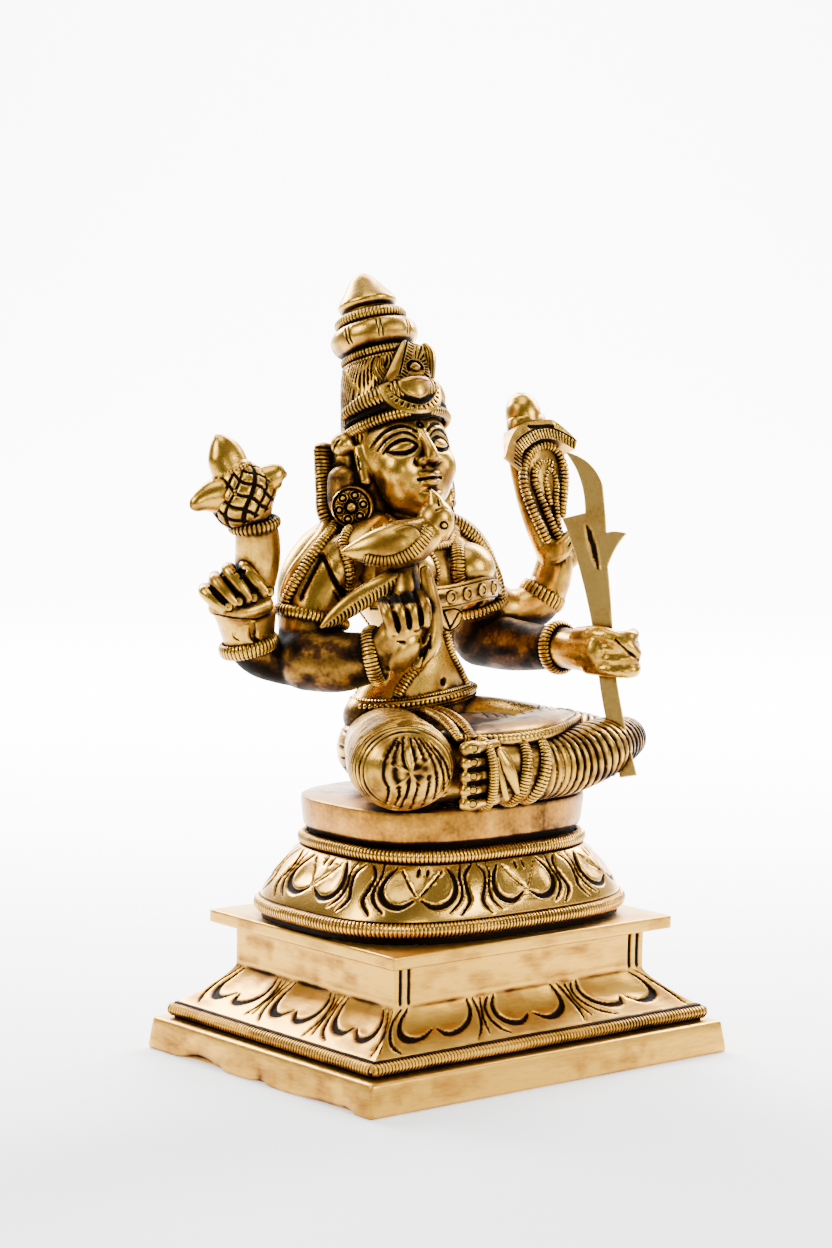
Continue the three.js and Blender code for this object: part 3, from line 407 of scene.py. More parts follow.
def worn_box(low, high, bevel=0.5, grain=1.6, wear=0.12, seed=1):
    """A slab with softened, hand-filed edges and a slightly uneven face."""
    bm = bmesh.new()
    bmesh.ops.create_cube(bm, size=1.0)
    (x0, y0, z0), (x1, y1, z1) = low, high
    for vert in bm.verts:
        top = vert.co.z > 0
        w, d, z = (x1, y1, z1) if top else (x0, y0, z0)
        vert.co = Vector((math.copysign(w, vert.co.x), math.copysign(d, vert.co.y), z))
    bmesh.ops.bevel(bm, geom=bm.edges[:], offset=bevel, segments=3, profile=0.5, affect="EDGES", material=-1)
    for axis, span in ((0, x0), (1, y0)):
        steps = int(2 * span / grain)
        for i in range(1, steps):
            at = [0.0, 0.0, 0.0]
            at[axis] = -span + 2 * span * i / steps
            normal = [0.0, 0.0, 0.0]
            normal[axis] = 1
            sliced(bm, at, normal)
    for z in np.linspace(z0, z1, 4)[1:-1]:
        sliced(bm, (0, 0, z), (0, 0, 1))
    bmesh.ops.recalc_face_normals(bm, faces=bm.faces)
    points = np.array([vert.co for vert in bm.verts])
    bm.verts.index_update()
    faces = [tuple(vert.index for vert in face.verts) for face in bm.faces]
    bm.free()
    skin = Skin(points, faces)
    drift = wear * noise(points, 9, seed)[:, None] + 0.5 * wear * noise(points, 3.5, seed + 1)[:, None]
    inward = np.stack([points[:, 0] / x0, points[:, 1] / y0, 0 * points[:, 0]], 1)
    skin.v = points - inward * np.abs(drift)
    return skin


PLINTH_PETALS = 3
PLINTH_PETAL_HIGH = 11 / 26


def flipped(line):
    return [(-x, y) for x, y in line]


def plinth_strokes():
    """The cuts of one petal, as (points, width), in shares of its own width."""
    lobe = [(0.335, 0.96), (0.372, 0.72), (0.345, 0.48), (0.235, 0.30), (0.11, 0.29), (0.028, 0.43)]
    flow = [(0.405, 0.97), (0.452, 0.74), (0.442, 0.48), (0.38, 0.24), (0.27, 0.08)]
    outer = [(0.41, 0.97), (0.455, 0.74), (0.468, 0.5), (0.45, 0.25), (0.42, 0.07)]
    between = [[(side * 0.5 + x, y) for x, y in ((0, 0.95), (0.003, 0.7), (0, 0.4), (0.015, 0.14))]
        for side in (-1, 1)]
    lines = ((lobe, 0.05), (flipped(lobe), 0.05), (flipped(flow), 0.03), (outer, 0.03), (between[0], 0.024),
        (between[1], 0.024))
    return [([(x, y * PLINTH_PETAL_HIGH) for x, y in line], width) for line, width in lines]


def plinth_bands():
    """Slope, dado and the lines cut into them, as one skin."""
    levels = [(SLOPE_FOOT - 0.5, 0.0, 0), (SLOPE_FOOT - 0.1, 0.0, 0)]
    slope_rows = 30
    levels += [(SLOPE_FOOT + (DADO_FOOT + 1.2 - SLOPE_FOOT) * i / slope_rows, i / slope_rows, 1)
        for i in range(slope_rows + 1)]
    levels += [(DADO_FOOT + 1.2 + (CAP_FOOT + 0.4 - DADO_FOOT - 1.2) * i / 14, 1.0, 2) for i in range(1, 15)]
    around = np.concatenate([side + np.linspace(0, 1, n, endpoint=False)
        for side, n in enumerate((250, 190, 250, 190))])
    rings, cuts = [], []
    strokes = plinth_strokes()
    for z, t, zone in levels:
        ease = 1 - (1 - t) ** 1.35 if zone == 1 else t
        w = SLOPE[0] + (DADO[0] - SLOPE[0]) * ease
        d = SLOPE[1] + (DADO[1] - SLOPE[1]) * ease
        x, y = rectangle(w, d, around)
        side = np.floor(around).astype(int) % 4
        share = around - np.floor(around)
        long_side = side % 2 == 0
        run = np.where(long_side, 2 * w, 2 * d)
        push = np.zeros(len(around))
        cut = np.zeros(len(around))
        wobble = 0.02 * noise(level(x, y, z), 6, 3)
        if zone == 1:
            u = (share + wobble * 0.35) * PLINTH_PETALS
            u = u - np.floor(u) - 0.5
            v = (t + wobble) * np.ones(len(u))
            deep = strokes_depth(u, v * PLINTH_PETAL_HIGH, strokes)
            dish = smooth(1 - (np.abs(u) / 0.33) ** 2) * smooth((v - 0.3) / 0.2) * 0.35
            push -= 0.42 * deep + dish
            cut = np.maximum(cut, deep)
        if zone == 2:
            at = np.abs(share - 0.5) * run
            edge = run / 2 - at
            for line in (1.7, 3.9):
                deep = smooth(1.5 - np.abs(edge - line) / 0.42)
                push -= 0.35 * deep * long_side
                cut = np.maximum(cut, deep * long_side)
            push += 0.25 * smooth(1 - (z - DADO_FOOT - 1.2) / 1.5)
        corner = np.minimum(share, 1 - share) * run
        push *= smooth(corner / 0.6)
        cut = cut * smooth(corner / 0.4)
        push += 0.08 * noise(level(x, y, z), 5, 5)
        nx = np.where(side == 1, 1, np.where(side == 3, -1, 0))
        ny = np.where(side == 0, -1, np.where(side == 2, 1, 0))
        lean = 0.6 if zone == 1 else 0.0
        rings.append(np.stack([x + nx * push * (1 - lean * 0.4), y + ny * push * (1 - lean * 0.4),
            z + push * lean], 1))
        cuts.append(cut)
    return loft(rings, np.array(cuts))


def rectangle_rope(half_width, half_depth, z, radius, tall, pitch):
    """Four corded rails that meet at the corners of a rectangle."""
    skins = []
    for side in range(4):
        w, d = half_width - radius, half_depth - radius
        ends = [rectangle(w, d, np.array([side + t])) for t in (0.0, 0.999999)]
        line = [[float(x[0]), float(y[0]), z] for x, y in ends]
        middle = [(line[0][k] + line[1][k]) / 2 for k in range(3)]
        skins.append(rope([line[0], middle, line[1]], radius, pitch, 0.26, 0.35, flat=tall / radius,
            across=((0, -1, 0), (1, 0, 0), (0, 1, 0), (-1, 0, 0))[side], sides=12, dome=0.9))
    return skins


def chipped(skin):
    """The foot with the broken lower edge of the side at her right hand."""
    p = skin.v
    on_side = smooth((-p[:, 0] - 48.2) / 1.2) * smooth((4.2 - p[:, 2]) / 4)
    wave = smooth(noise(np.stack([p[:, 1], 0 * p[:, 0], 0 * p[:, 0]], 1), 5, 9) * 1.2 + 0.35)
    reach = smooth((p[:, 1] + 34) / 6) * smooth((30 - p[:, 1]) / 10)
    lift = on_side * wave * reach
    skin.v[:, 0] += lift * 1.1
    skin.v[:, 2] += lift * 1.3 * smooth((2.5 - p[:, 2]) / 2.5)
    skin.cut = np.maximum(skin.cut, 0.35 * lift)
    return skin


def make_plinth():
    foot = chipped(worn_box((*FOOT, 0), (FOOT[0] - 0.9, FOOT[1] - 0.9, RAIL_FOOT), 0.8, 1.3, 0.16, 11))
    cap = worn_box((*CAP, CAP_FOOT), (*CAP, PLINTH_TOP), 0.45, 1.6, 0.1, 17)
    inner = (RAIL[0] - 1.6, RAIL[1] - 1.6)
    core = worn_box((*inner, RAIL_FOOT - 0.8), (*inner, SLOPE_FOOT + 0.05), 0.3, 4, 0.05, 19)
    # Painted shade: the core, set back behind the corded rails, is painted near black
    core.cut[:] = 0.9
    foot.cut = np.maximum(foot.cut, 0.16 * smooth((-foot.v[:, 0] - 48.5) / 0.6))
    rails = rectangle_rope(*RAIL, RAIL_FOOT + 1.75, 1.75, 1.5, 0.86)
    return merged([foot, core, *rails, plinth_bands(), cap])


# Lotus seat

SEAT_PETALS, SEAT_TURN, SEAT_PETAL_HIGH = 8, 0.5, 11.6 / 25.4


def seat_ring(a, b, count, power=3.0):
    """Even points round the rounded rectangle, and the way out at each, starting at the goddess's left."""
    t = np.linspace(0, TAU, 4000, endpoint=False)
    x = a * np.sign(np.cos(t)) * np.abs(np.cos(t)) ** (2 / power)
    y = b * np.sign(np.sin(t)) * np.abs(np.sin(t)) ** (2 / power)
    s = np.concatenate([[0], np.cumsum(np.hypot(np.diff(np.append(x, x[0])), np.diff(np.append(y, y[0]))))])
    at = np.linspace(0, s[-1], count, endpoint=False)
    x, y = np.interp(at, s, np.append(x, x[0])), np.interp(at, s, np.append(y, y[0]))
    way = np.stack([np.roll(y, -1) - np.roll(y, 1), np.roll(x, 1) - np.roll(x, -1)], 1)
    return x, y, unit(way)


def seat_strokes():
    lobe = [(0.235, 0.93), (0.30, 0.74), (0.315, 0.54), (0.255, 0.34), (0.14, 0.27), (0.03, 0.40)]
    flow = [(0.47, 0.96), (0.40, 0.80), (0.415, 0.55), (0.44, 0.35), (0.36, 0.10)]
    outer = [(0.36, 0.97), (0.345, 0.78), (0.372, 0.55), (0.352, 0.36), (0.255, 0.14)]
    return lobe, flow, outer


def make_seat():
    skins = []
    for z, a, b, radius in ((SEAT_FOOT + 2.85, 38.35, 28.55, 1.65), (47.1, 28.9, 22.7, 1.5)):
        x, y, _ = seat_ring(a, b, 60)
        skins.append(rope(level(x, y, z), radius, 0.84, 0.26, 0.25, closed=True, across=UP, sides=12))
    band = [(SEAT_FOOT, 38.2, 28.6, 0), (SEAT_FOOT + 1.2, 38.2, 28.6, 0), (SEAT_FOOT + 1.5, 36.6, 27.1, -1),
        (34.9, 36.8, 27.3, -1)]
    rows = 38
    foot, top = (38.2, 28.6), (29.4, 23.2)
    for i in range(rows + 1):
        t = i / rows
        belly = 0.9 * math.sin(t * math.pi) ** 0.8 + 0.25
        band.append((35.0 + 10.7 * t, foot[0] + (top[0] - foot[0]) * t + belly,
            foot[1] + (top[1] - foot[1]) * t + belly, t))
    band += [(45.8, 28.2, 21.6, -1), (48.7, 28.0, 21.4, -1), (49.5, 28.5, 21.5, -1), (49.75, 29.1, 22.0, 2),
        (50.4, 29.6, 22.2, 2), (53.0, 30.1, 22.3, 2), (55.6, 30.4, 22.4, 2), (56.3, 30.3, 22.3, 2),
        (56.6, 29.8, 21.8, 2), (56.6, 26, 18, 2), (56.6, 14, 9, 2), (56.6, 1, 1, 2)]
    count = 760
    lobe, flow, outer = seat_strokes()
    tick = [([(0.02 + 0.028 * k, 0.47 + 0.07 * k), (0.05 + 0.028 * k, 0.56 + 0.07 * k)], 0.014)
        for k in range(6)]
    tick += [(flipped(points), width) for points, width in tick]
    strokes = [(lobe, 0.052), (flipped(lobe), 0.052), (flow, 0.036), (flipped(flow), 0.036), (outer, 0.03),
        (flipped(outer), 0.03), ([(-0.035, 0.80), (-0.03, 0.94)], 0.03),
        ([(0.05, 0.80), (0.055, 0.94)], 0.026), *tick]
    strokes = [([(px, py * SEAT_PETAL_HIGH) for px, py in points], width) for points, width in strokes]
    rings, cuts = [], []
    for z, a, b, t in band:
        x, y, way = seat_ring(a, b, count)
        share = np.arange(count) / count
        push, cut = np.zeros(count), np.zeros(count)
        # Painted shade: the rings set back behind the two ropes are painted near black
        if t == -1:
            cut[:] = 0.9
        elif 0 < t <= 1 and z > 35:
            wobble = noise(level(x, y, z), 7, 21)
            u = share * SEAT_PETALS + SEAT_TURN + 0.012 * wobble
            u = u - np.floor(u) - 0.5
            v = (t + 0.02 * wobble) * SEAT_PETAL_HIGH
            deep = strokes_depth(u, v, strokes)
            dish = smooth(1 - (np.abs(np.abs(u) - 0.15) / 0.12) ** 2) * smooth(1 - np.abs(t - 0.6) / 0.32)
            push = -0.45 * deep - 0.3 * dish
            cut = deep
            edge = smooth((t - 0.985) / 0.01) + smooth((0.015 - t) / 0.01)
            cut = np.maximum(cut, 0.8 * edge)
        # Painted shade: the drum under the figure, which her lap and knees overhang, is painted dark, mottled at
        # random
        if t == 2:
            face = level(x, y, z)
            push = 0.06 * noise(face, 8, 23)
            cut = np.clip(0.52 + 0.10 * noise(face, 7, 24) + 0.07 * noise(face, 2, 25), 0, 1)
        lean = 0.55 if 0 < t <= 1 else 0
        rings.append(np.stack([x + way[:, 0] * push, y + way[:, 1] * push, z + push * lean], 1))
        cuts.append(cut)
    return merged([loft(rings, np.array(cuts)), *skins])


# The figure. Its own heights run from the seat's top, z = 0; the face leans back with the head.

TILT = math.radians(20.5)
HEAD = (0.4, 16.8, 69.8)
YAW = math.radians(-10)
HEAD_TURN = (-TILT, 0, YAW)


def on_head(x, y, z):
    return [HEAD[0] + x, HEAD[1] + y * math.cos(TILT) + z * math.sin(TILT),
        HEAD[2] + z * math.cos(TILT) - y * math.sin(TILT)]


def to_head(points):
    p = np.asarray(points, float) - HEAD
    c, s = math.cos(TILT), math.sin(TILT)
    return np.stack([p[..., 0], p[..., 1] * c - p[..., 2] * s, p[..., 1] * s + p[..., 2] * c], -1)


def from_head(points):
    p = np.asarray(points, float)
    c, s = math.cos(TILT), math.sin(TILT)
    return np.stack([p[..., 0], p[..., 1] * c + p[..., 2] * s, p[..., 2] * c - p[..., 1] * s], -1) + HEAD


def to_face(points):
    """Into the face's own frame, which is turned a little to her right."""
    p = to_head(points)
    c, s = math.cos(YAW), math.sin(YAW)
    return np.stack([p[..., 0] * c + p[..., 1] * s, p[..., 1] * c - p[..., 0] * s, p[..., 2]], -1)


def from_face(points):
    p = np.asarray(points, float)
    c, s = math.cos(YAW), math.sin(YAW)
    return from_head(np.stack([p[..., 0] * c - p[..., 1] * s, p[..., 0] * s + p[..., 1] * c, p[..., 2]], -1))


def on_front(x, y, z):
    return from_face([x, y, z]).tolist()


FACING = from_face([0, -1, 0]) - HEAD
# About the way that the camera looks
VIEW = (0.64, 0.76, -0.1)


def limb(stations, across=(1, 0, 0), step=0.7, sides=26, dome=0.8):
    return tube(stations, across, step, sides, dome)


def tree_of(skin):
    return BVHTree.FromPolygons(skin.v.tolist(), skin.f)


def snapped(tree, points, lift=0.0):
    """The nearest places on a surface, and the way out at each."""
    spots, ways = [], []
    for p in points:
        spot, way, _, _ = tree.find_nearest(Vector(p[:3]))
        spots.append(spot)
        ways.append(way)
    spots, ways = np.array(spots), np.array(ways)
    for _ in range(4):
        ways[1:-1] = unit(ways[:-2] + ways[1:-1] + ways[2:])
    return spots + ways * lift, ways


def strap(tree, points, wide, thick, pitch=0.9, depth=0.24, slant=0.0, closed=False, lift=0.0, sides=12,
        sharp=0.6, plain=False, dome=0.8):
    """A band laid on a surface along a line, cut across with ticks."""
    line = curve(points, 1.2, closed)
    spots, ways = snapped(tree, line, lift)
    rows = [[*p, wide, thick, *w] for p, w in zip(spots, ways)]
    relief = None if plain else hatched(pitch, depth, slant, sharp)
    return tube(rows, step=min(pitch / 4, 0.3) if not plain else 0.6, sides=sides, closed=closed,
        relief=relief, dome=dome)


def beads(tree, points, radius, pitch, lift=0.2, closed=False):
    spots, _ = snapped(tree, curve(points, pitch, closed), lift)
    return [ball(p, radius, across=8, down=6) for p in spots]


def hoop(centre, normal, radii, wide, thick, pitch=0.9, depth=0.24, slant=0.0, sides=12, side=None,
        plain=False):
    """A ring round a limb: radii are those of its middle line, wide runs along the limb."""
    centre = np.array(centre, float)
    line = circle(centre, radii[0], normal, 32, radii[1] / radii[0], side=side)
    rows = [[*p, wide, thick, *unit(p - centre)] for p in line]
    relief = None if plain else hatched(pitch, depth, slant)
    return tube(rows, step=min(pitch / 4, 0.3) if not plain else 0.6, sides=sides, closed=True, relief=relief)


def laid(tree, points, way):
    """Points carried along a direction until they meet the surface."""
    way = unit(way)
    found = []
    for p in points:
        hit = tree.ray_cast(Vector(np.array(p) - way * 25), Vector(way), 120)[0]
        if hit is not None:
            found.append(hit)
    if len(found) < 2:
        return None
    line = np.array(found)
    for _ in range(2):
        line[1:-1] = (line[:-2] + 2 * line[1:-1] + line[2:]) / 4
    return line


def seen(tree, rows, step):
    """A curve carried onto a surface as the camera sees it."""
    return laid(tree, [q[:3] for q in curve(rows, step)], VIEW)


def boss(shape, height, place, rows=24, columns=72, sunk=1.2):
    """A low ornament: shape(r, angle) gives its plan, height(x, z, r) its relief and how dark it is cut."""
    r = np.linspace(0.02, 1, rows)[:, None]
    t = np.linspace(0, TAU, columns, endpoint=False)[None]
    x, z = shape(r, t)
    h, cut = height(x, z, r + 0 * t)
    front = place(x, z, h)
    back = place(x[-1:], z[-1:], np.full((1, columns), -sunk))
    centre = place(x[:1], z[:1], np.full((1, columns), -sunk))
    cuts = np.concatenate([cut + 0 * h, cut[-1:] + 0 * h[-1:], cut[-1:] + 0 * h[-1:]])
    return loft(np.concatenate([front, back, centre]), cuts)


def plane(origin, across, up):
    """Places (x, z, height) on a plane, its height out along across x up."""
    origin, across, up = np.array(origin, float), unit(across), unit(up)
    up = unit(up - (up @ across) * across)
    out = np.cross(across, up)
    return lambda x, z, h: origin + x[..., None] * across + z[..., None] * up + h[..., None] * out


def oval(a, b):
    """An oval plan with these radii, for a boss."""
    return lambda r, t: (a * r * np.cos(t), b * r * np.sin(t))


def polygon(corners):
    """A plan with these corners, for a boss."""
    ring = np.array([*corners, corners[0]], float)
    along = np.concatenate([[0], np.cumsum(np.linalg.norm(np.diff(ring, axis=0), axis=1))])
    middle = ring[:-1].mean(0)

    def plan(r, t):
        x, z = (np.interp(t / TAU * along[-1], along, ring[:, k]) for k in (0, 1))
        return middle[0] + r * (x - middle[0]), middle[1] + r * (z - middle[1])
    return plan


def ridge(d, at, half):
    return smooth(1 - np.abs(d - at) / half)


def mirrored(rows):
    return [[-row[0], *row[1:]] for row in rows]


# Legs and lap

def pleats(pitch, depth, bend=0.0, front=0.0, fine=None, first=0.0, last=1e9, wobble=0.0):
    """Folds across a limb, bowed by bend towards its end on the front."""
    def relief(s, angle, total):
        d = total - s
        x = d / pitch + bend * np.cos(angle - front) + wobble * np.sin(3 * angle + d * 0.35)
        if fine:
            x = np.where(d > fine[0], fine[0] / pitch + (d - fine[0]) / fine[1],
                d / pitch) + bend * np.cos(angle - front)
            x = x + wobble * np.sin(2 * angle + d * 0.3)
        amount = groove(x, 0.62) * smooth((d - first) / 1.0) * smooth((last - d) / 1.5)
        size = depth if not fine else np.where(d > fine[0], depth * 0.5, depth)
        return -size * amount, amount * 0.9
    return relief


def make_legs():
    knee = [[-6.5, 12, 9.4, 9.4, 9.0], [-14.4, 0.4, 9.4, 9.6, 8.9], [-21.4, -10.3, 9.4, 10.8, 9.4],
        [-25.2, -16.4, 9.3, 11, 9.3], [-27.2, -19.8, 9.2, 9.8, 8.4], [-28.3, -22.1, 9.1, 7.3, 6.3],
        [-28.9, -23.5, 9.0, 4.2, 3.7], [-29.2, -24.1, 9.0, 0.5, 0.5]]
    right_knee = tube(knee, step=0.24, sides=110, dome=0.1, relief=pleats(1.02, 0.42, 0.0, 0.4, first=8.0,
        last=30, wobble=0.1))
    tree = tree_of(tube(knee, step=0.5, sides=80, dome=0.1))
    folds = [[[-34.0, 16.5], [-36.8, 12.6], [-37.5, 9.4], [-35.8, 6.1], [-36.6, 2.9]],
        [[-33.2, 16.1], [-34.7, 11.8], [-33.8, 7.8], [-32.9, 4.5], [-35.3, 1.5]],
        [[-32.3, 16.7], [-32.2, 12.2], [-30.5, 7.6], [-31.2, 4.4], [-33.2, 1.3]],
        [[-30.7, 16.6], [-28.9, 11.9], [-28.0, 7.3], [-28.7, 4.2], [-30.3, 1.2]],
        [[-29.4, 16.5], [-26.4, 11.7], [-25.0, 7.1], [-25.8, 3.9], [-27.6, 1.0]],
        [[-28.4, 16.4], [-24.3, 11.6], [-22.9, 6.9], [-23.7, 3.4], [-25.3, 0.8]],
        [[-26.9, 15.8], [-22.2, 10.7], [-21.0, 6.1], [-21.7, 2.9], [-23.3, 0.4]],
        [[-25.2, 15.2], [-20.7, 10.3], [-19.6, 6.0], [-20.2, 2.8], [-21.7, 0.4]]]
    lines = [laid(tree, [[q[0], -25, q[2]] for q in curve([[x, 0, z] for x, z in rows], 0.8)], VIEW)
        for rows in folds]
    engrave(right_knee, lines[:6], 0.44, 0.5, 0.75)
    engrave(right_knee, lines[6:], 0.4, 0.4)
    left_knee = tube([[7, 12, 9.6, 9.6, 9.6], [15.5, 1, 9.4, 10, 9.2], [23, -9, 8.9, 10, 8.2],
        [29, -15, 8.4, 8.8, 7.4], [33.5, -18, 8, 6, 5.4], [36, -19.4, 7.9, 2, 2]], step=0.4, sides=60,
        dome=0.3, relief=pleats(1.5, 0.3, 0.0, 0.0, first=1, last=24, wobble=0.1))
    shin = tube([[42.2, -14.4, 10.4, 2.2, 2.2], [40.4, -14.8, 10.2, 4.4, 4.0], [36.5, -16, 10.1, 5.9, 5.0],
        [31, -18.2, 9.6, 6.5, 5.9], [24, -20.6, 8.7, 6.8, 6.6], [15.5, -21.8, 7.2, 5.8, 6.8],
        [9.5, -22.4, 6.9, 5, 6.6], [6.4, -22.7, 6.8, 4.8, 6.6]], across=(0, 1, 0), step=0.26, sides=72,
        dome=0.5, relief=pleats(1.93, 0.72, -0.55, math.pi, first=0.4, last=44, wobble=0.05))
    shin.cut = np.maximum(shin.cut, 0.3)
    ankle = limb([[12, -22.2, 6.9, 4.9, 6.4], [3, -22.9, 6.7, 4.2, 6.4], [-4, -23.4, 6.8, 3.5, 6.4],
        [-12, -24, 7.4, 2.7, 6.4]], (0, 1, 0), dome=0.4)
    right_shin = limb([[-24, -14, 7.5, 7, 7], [-12, -16, 7, 6.4, 6.4], [2, -14, 6.6, 6, 6]])
    hips = ball([0, 9.5, 8.6], [19.5, 12.6, 11], across=44, down=26)
    lap = ball([3, -7.5, 9.0], [21, 14.5, 8.0], across=48, down=28)
    thigh = limb([[7, 12, 9.4, 9.4], [15.5, 1, 9.2, 9.8, 9], [23, -9, 8.7, 9.8, 8],
        [29, -14.6, 8.4, 8.4, 7.2]])
    inner = limb([[-7, 12, 9.6, 8.8, 8.2], [-15, 0, 9.2, 8.8, 7.9], [-22, -9.5, 9, 8.4, 7.9]])
    toes = []
    for i in range(5):
        z, wide = 1.75 + 2.85 * i, 1.5 if i < 4 else 1.7
        toes.append(limb([[-7, -24.4, z, 1.3, 1.3], [-11.6, -25.2, z, 1.25, 1.3],
            [-14.4, -25.9, z, wide, wide], [-16.3, -25.9, z, wide * 0.92, wide * 0.9]], step=0.3, sides=20,
            across=UP, dome=0.95))
    core = fused([hips, lap, thigh, inner, right_shin, ankle, *toes], 0.42, 2)
    core.v[:, 2] = np.maximum(core.v[:, 2], 0.02)
    tree = tree_of(core)
    gaps = [laid(tree, [[x, -40, 3.18 + 2.85 * i] for x in np.linspace(-18.2, -10.6, 14)], (0, 1, 0))
        for i in range(4)]
    engrave(core, gaps, 0.55, 0.8, taper=False)
    lattice = []
    for i in range(11):
        x = 4 + 2.6 * i
        lattice.append(laid(tree, [[x + 9 * t, -2 - 13 * t, 40] for t in np.linspace(0, 1, 16)], (0, 0, -1)))
        lattice.append(laid(tree, [[x + 5 - 7 * t, 1 - 13 * t, 40] for t in np.linspace(0, 1, 16)],
            (0, 0, -1)))
    back_folds = [laid(tree, [[27 * math.sin(a), 40 * math.cos(a), 2.6 + 2.4 * k + 0.5 * math.sin(5 * a + k)]
        for a in np.linspace(-1.5, 1.5, 60)], (0, -1, 0)) for k in range(5)]
    engrave(core, lattice + back_folds, 0.32, 0.2, 0.9)
    lap_top = smooth((core.v[:, 2] - 12) / 3) * smooth((8 - core.v[:, 1]) / 6)
    core.cut = np.maximum(core.cut, lap_top * (0.28 + 0.1 * noise(core.v, 4, 63) + 0.14
        * noise(core.v, 1.2, 64)))
    parts = [core, right_knee, left_knee, shin]
    nails = []
    for i in range(5):
        z = 1.75 + 2.85 * i
        place = plane([-15.4, -27.3, z + 0.2], (0.88, -0.48, 0), (0, 0, 1))
        nails.append(boss(oval(1.05, 0.9), lambda x, z, r: (0.35 - 0.3 * ridge(r, 0.78, 0.16) - 0.25 * r ** 4,
            ridge(r, 0.78, 0.18)), place, 10, 26, 0.9))
    parts += nails
    parts += [hoop([-0.8, -23.0, 6.8], (1, 0, -0.22), (4.6, 6.6), 1.5, 0.8, 0.66, 0.24),
        hoop([4.2, -22.8, 6.9], (1, 0, -0.26), (4.9, 6.7), 1.5, 0.8, 0.78, 0.26),
        hoop([-9.8, -23.8, 7.2], (1, 0, 0.05), (3.6, 6.8), 1.2, 1.0, 0.62, 0.16)]
    fold = limb([[-7.4, -26.0, 12.2, 1.0, 0.7], [-5.4, -27.0, 8.5, 1.7, 0.8], [-2.8, -27.0, 3.2, 0.7, 0.5]],
        step=0.4, sides=14)
    fold_2 = limb([[-8.0, -26.2, 10.6, 0.5, 0.5], [-7.2, -26.8, 6.5, 0.8, 0.5], [-5.6, -26.8, 2.0, 0.7, 0.4]],
        step=0.4, sides=12)
    parts += [fold, fold_2]
    hem = tube([[-12.4, -21.4, 14.4, 0.8, 1.0], [-6, -23.6, 13.9, 1.0, 1.2], [2, -24.2, 13.9, 1.1, 1.3],
        [10, -23.0, 14.3, 1.1, 1.2], [18, -19.6, 15.0, 0.8, 1.0], [25, -15.4, 15.6, 0.5, 0.7]],
        across=(0, 1, 0), step=0.3, sides=16, relief=lambda s, angle, total: (-0.14 * groove(s / 1.15)
        * (np.sin(angle) < 0.1), 0.55 * groove(s / 1.15) * (np.sin(angle) < 0.1)))
    cloth = limb([[-13, -17, 14.6, 1.2, 3.8], [-4, -18.0, 14.9, 1.5, 5.6], [7, -17.0, 15.2, 1.6, 6.6],
        [18, -12.6, 15.8, 1.5, 5.8], [25.5, -9.6, 15.8, 1.2, 3.8]], across=UP, step=0.5, sides=30)
    cloth = fused([cloth], 0.4, 3)
    cloth.cut = np.clip(0.24 + 0.1 * noise(cloth.v, 4, 65) + 0.14 * noise(cloth.v, 1.1, 66), 0, 1)
    flat = tree_of(cloth)
    lines = []
    for i in range(9):
        x = 6 + 2.5 * i
        lines.append(laid(flat, [[x + 7.5 * t, -7.4 - 9 * t, 40] for t in np.linspace(-0.2, 0.75, 14)],
            (0, 0, -1)))
        lines.append(laid(flat, [[x + 4.5 - 6 * t, -6.4 - 9 * t, 40] for t in np.linspace(-0.2, 0.75, 14)],
            (0, 0, -1)))
    engrave(cloth, lines, 0.3, 0.16, 0.9)
    sashes = [tube([[-6.0 + k, -1.0, 17.6, 0.8, 1.1], [-9.6 + k, -9.6, 17.6, 0.9, 1.3],
        [-12.8 + k, -17.4, 16.6, 0.9, 1.3], [-14.4 + k, -22.2, 14.8, 0.7, 1.1]], across=UP, step=0.22,
        sides=14, relief=hatched(0.95, 0.18, 0.4)) for k in (-0.6, 3.0)]
    parts += [hem, cloth, *sashes]
    return merged(parts)


# Body

